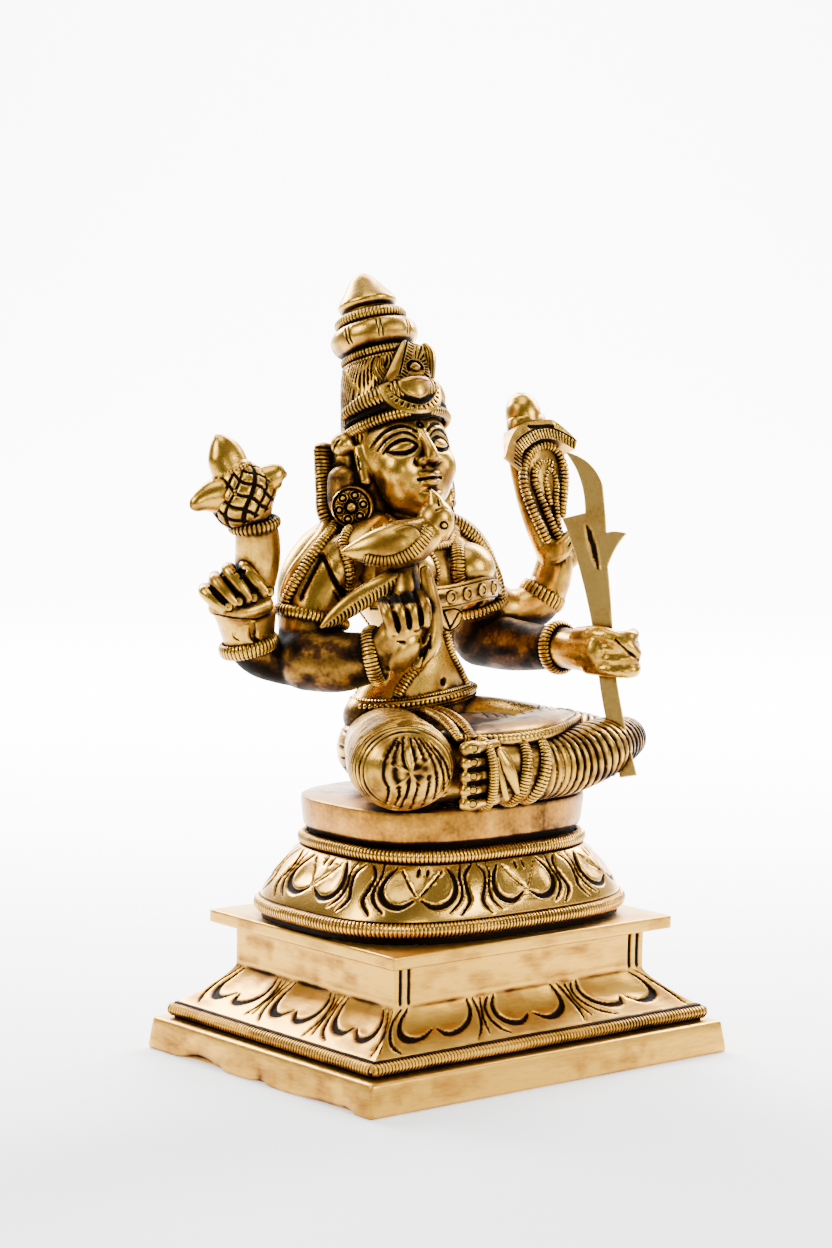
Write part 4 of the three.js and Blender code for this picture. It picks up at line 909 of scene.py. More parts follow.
def make_body():
    trunk = limb([[0, 10, 13, 15.5, 10.5], [0, 9.9, 19, 15.2, 8.6], [0, 9.6, 25, 11.2, 8],
        [0, 9.5, 31, 8.2, 7.2], [0, 10.6, 37, 11.6, 9], [0, 12, 43, 16, 10.8], [0, 13.4, 48.5, 18.5, 10],
        [0, 15, 53, 13.5, 8]], sides=44, dome=0.4)
    neck = limb([[0, 15.4, 51, 6.4, 6.2], [0, 15.6, 59, 5.7, 5.7]])
    breasts = [ball([side * 8.2, 4, 46.6], [6.8, 6.6, 6], across=26, down=18) for side in (-1, 1)]
    backs = [ball([side * 16.8 - 0.6, 16.6, 46.4], [8.4, 7.4, 7.8], across=26, down=18) for side in (-1, 1)]
    arms = [limb([[-17, 15.6, 48, 6.8], [-22.4, 16.6, 41, 7.4], [-25, 14.8, 33.4, 7], [-27.4, 12.4, 28, 6]]),
        limb([[-28.4, 12.6, 28.6, 6.7], [-24.2, 6, 28.4, 6.5], [-20.2, 0.4, 29.6, 5.4]]),
        ball([-10.4, 10.8, 15.4], [7.2, 6.6, 5.6], across=30, down=20),
        limb([[-27.6, 13.6, 27.6, 5.4], [-31.6, 17, 28, 4.9], [-35.4, 18.9, 29.4, 4.8],
        [-38.0, 19.3, 32.4, 5.1], [-39.6, 18.8, 37.5, 5.4]]), limb([[16, 16, 48, 6.4], [21.6, 18, 41.6, 6.6],
        [25, 19.2, 35, 6.4], [25.6, 19, 29.6, 6.4]]), limb([[26, 19, 29.4, 6.4], [27.4, 10, 28.6, 5.8],
        [28.6, 1, 28.8, 5], [29.4, -6, 29.4, 4.4]]), limb([[25.6, 18.4, 38, 5.6], [32.2, 16.8, 35, 5.2],
        [38, 14, 36.6, 5], [41.4, 12.4, 42.4, 4.4], [42, 12, 48, 4]])]
    cape = [limb([[-12, 22.5, 54.4, 3.6], [-19.4, 20.6, 50.2, 4.6], [-24.8, 18.6, 44.2, 5.0],
        [-26.4, 17, 37.5, 4.8]]), limb([[12, 20.5, 54.4, 3.6], [19, 19.4, 50.2, 4.6], [23.6, 18.8, 44.2, 5.0],
        [24.6, 18.6, 38, 4.8]]), limb([[-8, 13.6, 55.4, 3.8], [-14.4, 12.6, 51.4, 4.8],
        [-20, 13.2, 46.4, 5.0]]), limb([[8.4, 13.6, 55.6, 4.0], [14.8, 13.6, 52, 4.8], [20.2, 15, 47.2, 5.0],
        [23.2, 16.4, 41, 5.2]])]
    core = fused([trunk, neck, *breasts, *backs, *arms, *cape], 0.5, 5)
    tree = tree_of(core)
    # Navel
    d = np.linalg.norm(core.v - laid(tree, [[0.9, -40, 22.9], [0.91, -40, 22.9]], (0, 1, 0))[0], axis=1)
    core.v += core.normals() * (-0.9 * smooth(1 - d / 1.15))[:, None]
    core.cut = np.maximum(core.cut, smooth(1.25 - d / 1.2))
    folds = []
    for side in (-1, 1):
        for k in range(3):
            folds.append(laid(tree, [[side * (19.5 + k * 1.8 - 5 * t), -10, 45 - 9 * t - k * 1.1]
                for t in np.linspace(0, 1, 12)], (0, 1, 0)))
    engrave(core, folds, 0.5, 0.3)
    tree = tree_of(core)
    parts = [core]
    # Painted shade on the forearms, deeper on her left one, away from the key lamp, and in the recess under the
    # parrot; also darker low on her right flank
    x, y, z = core.v.T
    low_arm = smooth((36 - z) / 3) * smooth((z - 18) / 2) * smooth((np.abs(x) - 16) / 3)
    forearm_shade_and_flank = low_arm * (0.46 + 0.1 * (x > 0) + 0.1 * noise(core.v, 5, 61) + 0.08 * noise(core.v, 1.6, 62))
    forearm_shade_and_flank = np.maximum(forearm_shade_and_flank, 0.6 * smooth((-x - 7) / 2) * smooth((19.5 - z) / 3) * smooth((y - 2) / 2))
    painted_shade_under_parrot = 0.75 * smooth(1.3 - np.linalg.norm(core.v - [-14, 0, 43.6], axis=1) / 5.5)
    core.cut = np.maximum(core.cut, np.maximum(forearm_shade_and_flank, painted_shade_under_parrot))
    # Shawl edges: ropes down each shoulder, a smooth strip outside the right one, ribbons to the breast band
    right_ropes = [([[-11.6, 24, 57.4], [-14.8, 19.7, 56.3], [-17.7, 18.1, 54.6], [-21.2, 15.6, 53.2],
        [-23.6, 14.9, 51.2], [-25.3, 15.2, 49.1], [-27.1, 15.1, 47.1], [-28.7, 15.3, 45.1], [-29.8, 15.7, 43],
        [-30.6, 16.5, 40.2]], 1.3, 1.15, 0.92), ([[-16.6, 12.8, 55.4], [-19.8, 11, 52.8], [-20.3, 9.2, 50.5],
        [-20.2, 8.3, 48], [-19.9, 8.3, 45.9], [-19, 8.4, 43]], 1.15, 0.9, 0.8),
        ([[-12.4, 9.6, 55.4], [-13.6, 6.4, 52.4], [-14.4, 4.4, 48.8]], 1.1, 0.7, 0.8)]
    left_ropes = [([[9.8, 8.9, 57.5], [12.5, 8.4, 55.9], [15.3, 7.9, 53.5], [18.6, 8.3, 50],
        [21.8, 9.4, 46.3], [24.2, 11, 42.8], [25.6, 13, 39.2]], 1.5, 1.15, 0.92),
        ([[10.4, 8.8, 56], [12.6, 8.3, 54.2], [15.6, 8.8, 51.6], [16.8, 6.4, 49], [15.8, 3, 46.6],
        [13.6, 0.4, 44.4]], 1.1, 0.9, 0.8)]
    for rows, wide, thick, pitch in right_ropes + left_ropes:
        parts.append(strap(tree, rows, wide, thick, pitch, 0.28, 0.3, lift=0.15))
    parts.append(strap(tree, [[-16.6, 20.6, 55.4], [-20.5, 18, 53.8], [-25.2, 16.7, 50.3], [-28.3, 16.7, 47],
        [-30.7, 16.9, 43.3], [-31.9, 17.1, 40.4]], 1.25, 0.8, plain=True))
    for side in (-1, 1):
        m = mirrored if side > 0 else list
        parts.append(strap(tree, m([[-10, 8.5, 55.8], [-6.6, 4.4, 53.4], [-3.8, 1.5, 50.9],
            [-2.6, -0.1, 48.5], [-2.1, -0.6, 46], [-2, -1.4, 44.2]]), 1.6, 0.85, 0.7, 0.2))
        parts.append(strap(tree, m([[-8, 20.5, 55], [-14.6, 23.6, 50], [-20, 24, 44], [-24, 22.6, 38]]), 1.6,
            0.9, 0.98, 0.28))
        parts.append(strap(tree, m([[-9.6, 18, 36], [-7.6, 17.2, 30], [-10.2, 18.4, 24], [-13.2, 17, 19.6]]),
            1.0, 0.8, 0.82, 0.22))
    for cord in ([[1.2, 0.6, 35.4], [2.3, 1.8, 33.1], [4, 2, 30.2], [5.8, 2.4, 27.4], [8, 3, 24.4],
            [10, 3.5, 21.5]], [[-1.4, 0.6, 35.4], [-2.4, 1.6, 32.6], [-3.5, 2, 29.8], [-4.8, 2.1, 27.3],
            [-6.6, 2.5, 25.5], [-8.4, 3, 23.4], [-10.2, 3.4, 20.7]]):
        parts.append(strap(tree, cord, 1.15, 0.9, 0.82, 0.24))
    # The smooth panel on the upper arm, between two cut lines that meet at its top
    edges = ([[-23.6, 13.3, 50.3], [-25.5, 13.1, 47.6], [-27.5, 12.9, 44.8], [-29, 13, 42.1],
        [-31.4, 11.4, 39.8]], [[-23.6, 13.3, 50.3], [-23.8, 10.8, 47.7], [-23, 9.8, 45.3], [-21.7, 9.3, 43.1],
        [-20.6, 8.6, 40.6]], [[-31.5, 11.3, 39.6], [-29.3, 9.2, 39.7], [-25.6, 7.7, 39.6], [-21, 7.4, 39.8]])
    engrave(core, [curve(rows, 0.6) for rows in edges], 0.6, 0.55, taper=False)
    for k, (z, r, wide) in enumerate(((57.4, 6.4, 0.8), (56.0, 7.6, 0.9), (54.6, 9.4, 1.0))):
        parts.append(strap(tree, [[r * math.sin(a), 14 - r * 1.25 * math.cos(a), z - 1.6 * math.cos(a)]
            for a in np.linspace(0, TAU, 20, endpoint=False)], wide, 0.7, 0.72, 0.2, closed=True))
    # Breast band with its rosettes, level across the breasts; plain behind
    front = [[-16.2, 5.5, 41.2], [-13.8, 1, 41.3], [-9, -2.2, 41.5], [-4.5, -3.3, 41.7], [-0.8, -3.6, 42.0],
        [3.6, -3.5, 42.6], [8.3, -2.7, 43.1], [12.9, -0.2, 42.8], [15.8, 4, 41.8]]
    way_out = lambda p: unit(np.asarray(p[:2]) * [0.055, 0.12] - [0, 1.3]).tolist() + [0.04]
    parts.append(tube([[*p, 2.5, 1.3, *way_out(p)] for p in front], step=0.5, sides=24, dome=0.5,
        relief=lambda s, angle, total: (-0.35 * ridge(np.abs(np.cos(angle)), 0.86, 0.1) + 0 * s,
        ridge(np.abs(np.cos(angle)), 0.86, 0.12) + 0 * s)))
    parts.append(strap(tree, [[16.6 * math.sin(a), 9.6 - 12.6 * math.cos(a), 41.6]
        for a in np.linspace(1.5, TAU - 1.5, 20)], 2.2, 0.9, plain=True, sides=16))

    def rosette(x, z, r):
        dark = np.maximum(ridge(r, 0.94, 0.16), 0.7 * ridge(r, 0.45, 0.14) * (x > 0))
        return 0.5 - 0.5 * dark, dark

    for p in curve(front, 4.4)[:-1]:
        out = np.array(way_out(p))
        parts.append(boss(oval(1.6, 1.6), rosette, plane(p + 1.05 * out, np.cross(UP, out), UP), 18, 40, 0.7))
    # Shield pendant
    place = plane([-1.9, -3.0, 37.7], (1, 0, 0), (0, -0.12, 1))
    shield = lambda r, t: (3.5 * r * np.cos(t), r * np.sin(t) * np.where(np.sin(t) < 0, 3.4, 1.9)
        * (1 - 0.12 * np.abs(np.cos(t))))

    def heart(x, z, r):
        dark = np.maximum(ridge(np.abs(x) - (z + 2.5) * 0.62, 0, 0.42) * (z < 0.9), ridge(r, 0.9, 0.1))
        return 0.8 - 0.55 * dark - 0.3 * smooth((r - 0.86) / 0.14), dark

    parts.append(boss(shield, heart, place, 40, 90, 2.6))
    # Belt: a row of beads between two plain cords
    belt = [[15.4 * math.sin(a), 9.8 - 9.4 * math.cos(a), 19.4 + 1.5 * math.sin(a)]
        for a in np.linspace(0, TAU, 28, endpoint=False)]
    waist = tree_of(trunk)
    parts.append(strap(waist, belt, 1.5, 0.7, plain=True, closed=True))
    belt_tree = tree_of(parts[-1])
    parts += beads(belt_tree, belt, 0.62, 1.12, 0.1, closed=True)
    for dz in (-1.35, 1.35):
        parts.append(strap(waist, [[x, y, z + dz] for x, y, z in belt], 0.45, 0.75, 0.7, 0.1, closed=True,
            sides=8))
    # Arm bands
    parts += [hoop([-24.5, 15.3, 37.0], (-0.27, 0.02, -1), (7.5, 7.5), 1.25, 0.9, 0.85, 0.26),
        hoop([24.0, 18.5, 37.4], (0.38, 0.05, -1), (6.9, 6.9), 1.1, 0.8, 0.85, 0.26),
        hoop([-20.0, -0.7, 30.1], (0.62, -0.76, 0.22), (5.4, 5.7), 1.6, 0.85, 0.8, 0.26),
        hoop([-38.1, 19.2, 31.4], (-0.28, 0.05, 1), (5.6, 5.6), 1.6, 0.95, 0.8, 0.26),
        hoop([29.1, -3.9, 29.2], (0.1, -1, 0.1), (5.0, 5.2), 1.5, 0.8, 0.8, 0.26),
        hoop([39.6, 13.6, 38.6], (0.5, -0.25, 1), (4.8, 4.8), 1.8, 0.75, 1.0, 0.3)]
    return merged(parts)


# Head

def make_head():
    skull = ball(on_front(0, 0, 1), [11, 11.6, 12.6], HEAD_TURN, 56, 40)
    jaw = ball(on_front(0, -3.4, -6.6), [8.3, 7.5, 6.9], HEAD_TURN, 40, 28)
    cheeks = [ball(on_front(side * 4.5, -6.1, -3.8), [4.7, 4.7, 5.2], HEAD_TURN, 24, 18) for side in (-1, 1)]
    chin = ball(on_front(0, -8.3, -11.2), [3.1, 2.5, 2.3], HEAD_TURN, 20, 14)
    base = fused([skull, jaw, *cheeks, chin], 0.4, 25)
    nose = tube([[*on_front(0, -10.8, 3.2), 0.9, 0.8], [*on_front(0, -12.0, 0.6), 1.05, 1.0],
        [*on_front(0, -13.0, -2.2), 1.4, 1.3], [*on_front(0, -13.1, -3.6), 1.65, 1.25]], step=0.3, sides=20)
    wings = [ball(on_front(side * 1.75, -11.6, -3.8), [1.1, 1.3, 0.95], HEAD_TURN, 14, 10)
        for side in (-1, 1)]
    lips = []
    for z, thick, reach in ((-6.85, 0.78, 3.2), (-8.35, 0.85, 2.7)):
        lips.append(tube([[*on_front(-reach, -9.4, z + 0.35), 0.4, 0.4],
            [*on_front(-1.3, -10.8, z + 0.15), thick, thick * 0.8],
            [*on_front(0, -11.1, z - 0.1), thick * 0.9, thick * 0.8],
            [*on_front(1.3, -10.8, z + 0.15), thick, thick * 0.8],
            [*on_front(reach, -9.4, z + 0.35), 0.4, 0.4]], across=UP, step=0.25, sides=16))
    ears = []
    for side in (-1, 1):
        at = lambda x, y, z: on_head(side * x, y, z)
        ears.append(limb([[*at(10.5, 0, 2.6), 1.7, 1.2], [*at(11.1, -0.4, -1.4), 1.5, 1.1],
            [*at(11.4, -0.6, -5), 1.2, 1]], step=0.4))
        ears.append(ball(at(12.6, 2.9, 4.4), 2.7, across=22, down=16))
        ears.append(limb([[*at(11.4, 4.2, 3), 2.3], [*at(11.7, 5, -2), 2.5], [*at(12.2, 6, -9), 2.5]],
            step=0.4))
    core = fused([base, nose, *wings, *lips, *ears], 0.27, 3)
    p = to_head(core.v)
    # Painted shade low on the sides of the head, behind the jaw
    shade_behind_jaw = smooth((np.abs(p[:, 0]) - 9) / 1) * smooth((p[:, 1] - 2.4) / 1) * smooth((1.8 - p[:, 2]) / 1)
    core.cut = np.maximum(core.cut, 0.65 * shade_behind_jaw)
    p = to_face(core.v)
    x, y, z = p[:, 0], p[:, 1], p[:, 2]
    side = np.abs(x)
    front = smooth((-y - 3) / 3)
    blob = lambda cx, cz, rx, rz: smooth(1 - ((side - cx) / rx) ** 2 - ((z - cz) / rz) ** 2)
    rise = -0.8 * blob(4.6, 0.3, 4.2, 2.9) + 1.05 * blob(4.6, 0.1, 3.0, 1.5) + 0.4 * blob(5.2, 3.7, 4.2, 1.0)
    rise = rise - 0.35 * smooth(1 - (x / 3.2) ** 2 - ((z + 9.9) / 0.7) ** 2)
    core.v += (rise * front)[:, None] * FACING
    tree = tree_of(core)

    def on_face(points, mirror=True):
        lines = []
        for flip in ((-1, 1) if mirror else (1,)):
            fine = curve([[px, 0, pz] for px, pz in points], 0.5)
            line = laid(tree, [on_front(flip * q[0], -11, q[2]) for q in fine], -FACING)
            if line is not None:
                lines.append(line)
        return lines

    brow = [(1.2, 2.7), (2.9, 4.2), (5.4, 4.7), (7.9, 3.8), (9.8, 1.8)]
    fold = [(1.5, 1.3), (3.0, 2.7), (5.2, 3.1), (7.5, 2.3), (9.2, 0.5)]
    upper_lid = [(1.6, -0.1), (3.0, 1.2), (4.9, 1.55), (7.0, 0.8), (8.5, -0.5)]
    lower_lid = [(1.7, -0.3), (3.1, -1.15), (4.9, -1.3), (6.7, -0.8), (7.9, 0)]
    for line, width, depth in ((brow, 0.55, 0.5), (fold, 0.4, 0.4), (upper_lid, 0.45, 0.5),
            (lower_lid, 0.4, 0.45), ([(0.9, -4.5), (1.4, -4.9)], 0.4, 0.4),
            ([(2.8, -2.9), (3.1, -3.8), (2.6, -4.6)], 0.26, 0.2)):
        engrave(core, on_face(line), width, depth, facing=FACING)
    engrave(core, on_face([(2.9, -7.45), (1.4, -7.65), (0, -7.55)]), 0.34, 0.5, facing=FACING, taper=False)
    mark = [(0.75 * math.sin(a), 4.4 + 0.75 * math.cos(a)) for a in np.linspace(0, TAU, 16)]
    engrave(core, on_face(mark, False), 0.38, 0.45, taper=False, facing=FACING)
    for s in (-1, 1):
        cut = laid(tree, [on_head(s * 20, 3.4 - 3 * t, 3.4 + 2.4 * t) for t in np.linspace(0, 1, 8)],
            (-s, 0, 0))
        hole = laid(tree, [on_head(s * 20, -0.6 - 0.2 * t, 0.8 - 3.4 * t) for t in np.linspace(0, 1, 8)],
            (-s, 0, 0))
        engrave(core, (cut, hole), 0.3, 0.4)
    parts = [core]
    for s in (-1, 1):
        parts += ear_ornament(s)
        nape = fused([limb([[s * 11.6, 19, 56.4, 3.2], [s * 13.4, 18.8, 61, 3.6], [s * 13.4, 19.6, 66, 3.2]]),
            limb([[s * 5.2, 17.4, 55, 5], [s * 6.8, 17.8, 60.5, 4.8], [s * 8.4, 18.2, 66, 4.4]])], 0.5, 3)
        nape.cut[:] = 0.5
        parts.append(nape)
    return merged(parts + make_crown())


def ear_ornament(side):
    at = lambda x, y, z: on_head(side * x - 1, y + 0.8, z + 0.8)
    radius = 4.4
    normal = unit([side * 0.72, -0.68, 0.02])
    place = plane(np.array(at(13.1, 1.5, -10.4)) + normal * 0.9, np.cross(UP, normal), UP)

    def relief(x, z, r):
        h = 0.55 - 0.5 * ridge(r, 0.87, 0.09) - 0.35 * smooth((r - 0.95) / 0.05)
        cut = ridge(r, 0.87, 0.1)
        bead = np.hypot(x, z)
        h = h + 0.9 * np.sqrt(np.clip(1 - (bead / 1.0) ** 2, 0, 1)) - 0.45 * ridge(bead, 1.3, 0.35)
        cut = np.maximum(cut, ridge(bead, 1.3, 0.42))
        for k in range(6):
            a = TAU * (k + 0.25) / 6
            d = np.hypot(x - 2.65 * math.cos(a), z - 2.65 * math.sin(a))
            h = h + 0.5 * np.sqrt(np.clip(1 - (d / 0.5) ** 2, 0, 1)) - 0.4 * ridge(d, 0.7,
                0.24) + 0.2 * ridge(d, 1.0, 0.16)
            cut = np.maximum(cut, np.maximum(ridge(d, 0.7, 0.24), 0.8 * ridge(d, 1.24, 0.18)))
        return h, cut

    disc = boss(oval(radius, radius), relief, place, 64, 120, 2.2)
    ribbon = tube([[*at(12.2, 7.6, 4.2), 2.9, 1.9], [*at(12.9, 8.4, -1), 2.6, 1.9],
        [*at(13.2, 8.6, -5), 2.9, 2.0], [*at(13.7, 8.8, -9), 3.1, 2.1], [*at(13.7, 8.6, -12.6), 2.5, 1.9]],
        step=0.19, sides=30, dome=0.9, relief=lambda s, angle, total: (-0.3 * groove(s / 0.8)
        * (np.cos(angle + (2.2 if side < 0 else 0.9)) > -0.2), 0.8 * groove(s / 0.8)
        * (np.cos(angle + (2.2 if side < 0 else 0.9)) > -0.2)))
    return [disc, ribbon]


def head_ring(z, a, b, wide, thick, pitch=0.8, depth=0.24, plain=False, rise=0.0, arc=None, taper=0.0,
        slant=0.0):
    """A band round the head at height z, leading up to the front by rise; arc limits it to the front."""
    turn = np.linspace(0, TAU, 40, endpoint=False) if arc is None else np.linspace(-arc, arc, 30)
    rows = []
    for t in turn:
        p = from_face([a * math.sin(t), -b * math.cos(t), z + rise * math.cos(t)])
        out = from_face([math.sin(t), -math.cos(t), 0]) - HEAD
        fade = 1 - taper * (abs(t) / (arc or TAU)) ** 2
        rows.append([*p, wide * fade, thick, *out])
    return tube(rows, step=pitch / 4, sides=14, closed=arc is None,
        relief=None if plain else hatched(pitch, depth, slant))


def crown_stack(levels, count=120, relief=None):
    levels = np.array(levels, float)
    t = np.linspace(0, TAU, count, endpoint=False)
    fine = curve([[row[0], row[1], row[2]] for row in levels], 0.3)
    rings, cuts = [], []
    for z, a, b in fine:
        push, cut = relief(z, t) if relief else (0 * t, 0 * t)
        rings.append(from_head(np.stack([(a + push) * np.cos(t), (b + push) * np.sin(t), z + 0 * t], 1)))
        cuts.append(cut)
    return loft(rings, np.array(cuts))


def make_crown():
    def hair(z, t):
        wave = 1.5 * np.sin(z * 0.55 + 3 * np.sin(3 * t)) + 0.9 * np.sin(5 * t)
        lines = groove(t * 62 / TAU - 0.36 * z + 0.3 * wave, 0.7) * smooth(0.75 + 0.55
            * np.sin(z * 1.3 + 5 * np.sin(4 * t)))
        brow = smooth((-np.sin(t) - 0.1) / 0.35) * smooth((7.4 - z) / 1.2)
        fade = smooth((z - 3.2) / 1.2) * smooth((22.6 - z) / 1.2) * (1 - brow)
        return -0.42 * lines * fade - 1.9 * brow, lines * fade * 0.95

    def pairs(z, t):
        k = t * 8 / TAU + 0.18
        k = k - np.floor(k) - 0.5
        lines = np.maximum(ridge(k, -0.06, 0.035), ridge(k, 0.06,
            0.035)) * smooth((2.2 - abs(z - 27.4)) / 0.6)
        return -0.25 * lines, lines

    body = crown_stack([(3, 10.6, 11), (6, 11.4, 12), (9, 11.2, 11.6), (13, 10.5, 10.6), (18, 9.5, 9.6),
        (21, 8.5, 8.5), (22.6, 7.4, 7.4), (24, 6.4, 6.4), (30, 6, 6), (34, 5, 5)], 300, hair)
    torus = crown_stack([(24.2, 6, 6), (24.5, 7.6, 7.6), (25.4, 8.9, 8.9), (26.6, 9.5, 9.5), (28.2, 9.5, 9.5),
        (29.4, 8.9, 8.9), (30.2, 7.6, 7.6), (30.4, 6, 6)], 260, pairs)
    knob = crown_stack([(32.6, 4.6, 4.6), (33.6, 4.9, 4.9), (34.4, 6.2, 6.2), (35.2, 6.5, 6.5), (36.2, 6, 6),
        (38.4, 4.4, 4.4), (40.6, 2.8, 2.8), (41.9, 1.4, 1.4), (42.2, 0.2, 0.2)], 64)
    parts = [body, torus, knob, head_ring(23, 7.4, 7.4, 1.0, 1.0, 0.7, 0.22),
        head_ring(31.5, 6.9, 6.9, 1.25, 1.15, 0.7, 0.22), head_ring(21.4, 7.9, 7.9, 0.5, 0.6, 0.7, 0.1),
        head_ring(6.3, 11.5, 12.3, 1.15, 1.0, 0.78, 0.26, rise=0.9, arc=1.62),
        head_ring(10.6, 11.2, 12.1, 2.3, 1.0, 0.9, 0.26, rise=1.8, arc=1.6, taper=0.5, slant=0.5)]
    dark_band = head_ring(8.2, 11.3, 11.9, 0.8, 0.75, plain=True, rise=1.3, arc=1.6, taper=0.7)
    dark_band.cut[:] = 0.95
    parts.append(dark_band)

    # Crescent over the forehead, with its drop
    def crescent(x, z, r):
        drop = np.sqrt(np.abs(x / 4.0) ** np.where(z < 0, 1.5, 2) + (z / np.where(z < 0, 3.9, 2.0)) ** 2)
        angle = np.arctan2(z, x)
        ticks = groove(angle * 30 / TAU, 0.7) * smooth((drop - 1.36) / 0.08) * smooth((0.82
            - r) / 0.07) * (z < -0.6)
        h = 1.1 - 0.6 * r ** 3 + 0.9 * np.sqrt(np.clip(1 - drop ** 2, 0, 1)) - 0.75 * ridge(drop, 1.18, 0.24)
        h = h - 0.36 * ticks - 0.8 * smooth((r - 0.91) / 0.05)
        cut = np.maximum(ridge(drop, 1.18, 0.3), np.maximum(ticks, smooth((r - 0.89) / 0.05) * (z < 0.5)))
        return h, cut

    def on_brow(x, z, h):
        out = np.sqrt(np.clip(13.0 ** 2 - x ** 2, 1, None)) - 13.0
        lean = (z + 7) * 0.10
        return from_face(np.stack([x, -(out + 12.6 + h) + lean, 13.4 + z], -1))

    plan = lambda r, t: (8.3 * r * np.sign(np.cos(t)) * np.abs(np.cos(t)) ** 0.85,
        r * np.sin(t) * np.where(np.sin(t) < 0, 7.9, 1.3))
    parts.append(boss(plan, crescent, on_brow, 72, 190, 2.4))

    # Crest: a pointed leaf with a smooth strip and a ticked band up its left edge, an eye with rays,
    # and curled lobes
    def leaf(x, z, r):
        edge = ((x + 5.4) * 8.3 - (z - 0.3) * 7) / 10.86
        along = ((x + 5.4) * 7 + (z - 0.3) * 8.3) / 10.86
        strip = 2.7 - 1.9 * np.clip(along / 10.86, 0, 1)
        eye = np.hypot(x - 1.9, (z - 1.6) * 1.15)
        way = np.arctan2(z - 1.6, x - 1.9)
        band = smooth((edge - strip - 0.3) / 0.2) * smooth((strip + 1.9 - edge) / 0.3)
        ticks = groove(along / 0.8, 0.65) * band * smooth((eye - 2.3) / 0.2)
        rays = groove(way * 26 / TAU, 0.65) * smooth((eye - 2.35) / 0.15) * smooth((0.95
            - r) / 0.06) * smooth((edge - strip - 2.1) / 0.3)
        ring = smooth((2.15 - eye) / 0.2) * smooth((eye - 1.25) / 0.2) * (z > 0.9)
        rim = ridge(edge, strip, 0.3) * (z > 0.2)
        h = 0.9 - 0.5 * r ** 4 + 0.6 * np.sqrt(np.clip(1 - (eye / 1.2) ** 2, 0, 1)) - 0.6 * ring
        return h - 0.34 * np.maximum(ticks, rays) - 0.4 * rim, np.maximum(np.maximum(ring, rim),
            np.maximum(ticks, rays))

    outline = polygon([(-5.4, -1.2), (-5.4, 0.3), (1.0, 8.1), (1.9, 8.7), (5.9, 7.0), (5.7, 3.5),
        (5.3, -1.2)])
    lean = plane(on_front(0, -10.4, 15.4), from_face([1, 0, 0]) - HEAD, from_face([0, 0.2, 1]) - HEAD)
    parts.append(boss(outline, leaf, lean, 56, 180, 3.2))
    for rows in ([[*on_front(5.6, -9.4, 15.0), 1.3, 1.4], [*on_front(6.7, -9.2, 18.4), 1.5, 1.4],
            [*on_front(7.2, -8.8, 21.0), 1.5, 1.3], [*on_front(6.8, -8.6, 22.4), 0.9, 0.9]],
            [[*on_front(-4.2, -8.2, 15.8), 1.6, 1.4], [*on_front(-5.2, -8.0, 18), 1.3, 1.2],
            [*on_front(-4.6, -7.8, 20), 0.8, 0.8]]):
        parts.append(tube(rows, across=(1, 0, 0), step=0.3, sides=44,
            relief=lambda q, angle, total: (-0.24 * groove(angle * 12 / TAU) + 0 * q,
            0.9 * groove(angle * 12 / TAU) + 0 * q)))
    return parts


# Hands and what they hold

def spread(p, q, count):
    return [[a + (b - a) * i / (count - 1) for a, b in zip(p, q)] for i in range(count)]


def finger(points, radius, step=0.25):
    sizes = radius if np.ndim(radius) else [radius] * len(points)
    return tube([[*p, r, r] for p, r in zip(points, sizes)], across=UP, step=step, sides=18, dome=0.8)


def make_right_front():
    palm = limb([[-18.2, -0.6, 28.0, 4.3, 4.2], [-16.6, -3.2, 30.4, 4.8, 4.2], [-14.4, -5.4, 34, 5.2, 3.6],
        [-13, -5, 38, 4.6, 3.2]], step=0.4)
    heel = ball([-14.6, -6.4, 29.6], [3.6, 2.6, 5.0], (0.3, 0.5, 0.1), 24, 18)
    roots = spread([-18.6, -4.0, 40.2], [-10.6, -6.4, 41.6], 4)
    bends = spread([-19.6, -6.6, 37.8], [-11.4, -9.2, 39.2], 4)
    tips = spread([-18.4, -7.4, 33.8], [-11.2, -9.4, 35.4], 4)
    curled = [finger([a, b, c], [1.2, 1.25, 1.1]) for a, b, c in zip(roots, bends, tips)]
    thumb = finger([[-11.6, -7.2, 26.6], [-8.8, -7.6, 30.4], [-7.6, -7.6, 36], [-8.6, -7.4, 41.6],
        [-9.6, -6.8, 46.6]], [1.3, 2.1, 2.0, 1.7, 1.2])
    core = fused([palm, heel, *curled, thumb], 0.28, 3)
    tree = tree_of(core)
    lines = []
    for a, b in zip(list(zip(bends, tips))[:-1], list(zip(bends, tips))[1:]):
        top = [(p + q) / 2 for p, q in zip(a[0], b[0])]
        foot = [(p + q) / 2 for p, q in zip(a[1], b[1])]
        lines.append(laid(tree, spread(top, foot, 8), VIEW))
    lines.append(laid(tree, [[-18.6, -9, 32.2], [-15, -9, 31.2], [-11.4, -9, 31.8], [-9.6, -9, 33]], VIEW))
    lines.append(laid(tree, [[-13.8, -9, 26], [-12.4, -9, 28.6], [-10.8, -9, 31]], VIEW))
    lines.append(laid(tree, [[-12.4, -9, 26], [-11.2, -9, 28.6], [-9.6, -9, 32.6]], VIEW))
    lines.append(laid(tree, [[-9.6, -9, 30], [-9.4, -9, 33.6], [-9.8, -9, 38]], VIEW))
    engrave(core, lines[:3], 0.75, 0.8)
    engrave(core, lines[3:], 0.5, 0.5)
    x, y, z = core.v.T
    # Painted shade along the top of the fingers under the parrot, and on the back of the hand towards the body;
    # over all a darker tone that varies at random
    core.cut = np.maximum(core.cut, np.maximum(0.85 * smooth((z - 39.3) / 1.2) * smooth((-12 - x) / 1.2),
        0.14 + 0.1 * noise(core.v, 4, 67)))
    core.cut = np.maximum(core.cut, 0.75 * smooth((-15 - x) / 1) * smooth((z - 32) / 2)
        * smooth((y + 4.6) / 1))
    return core.moved([-2.4, 0, 1.7])


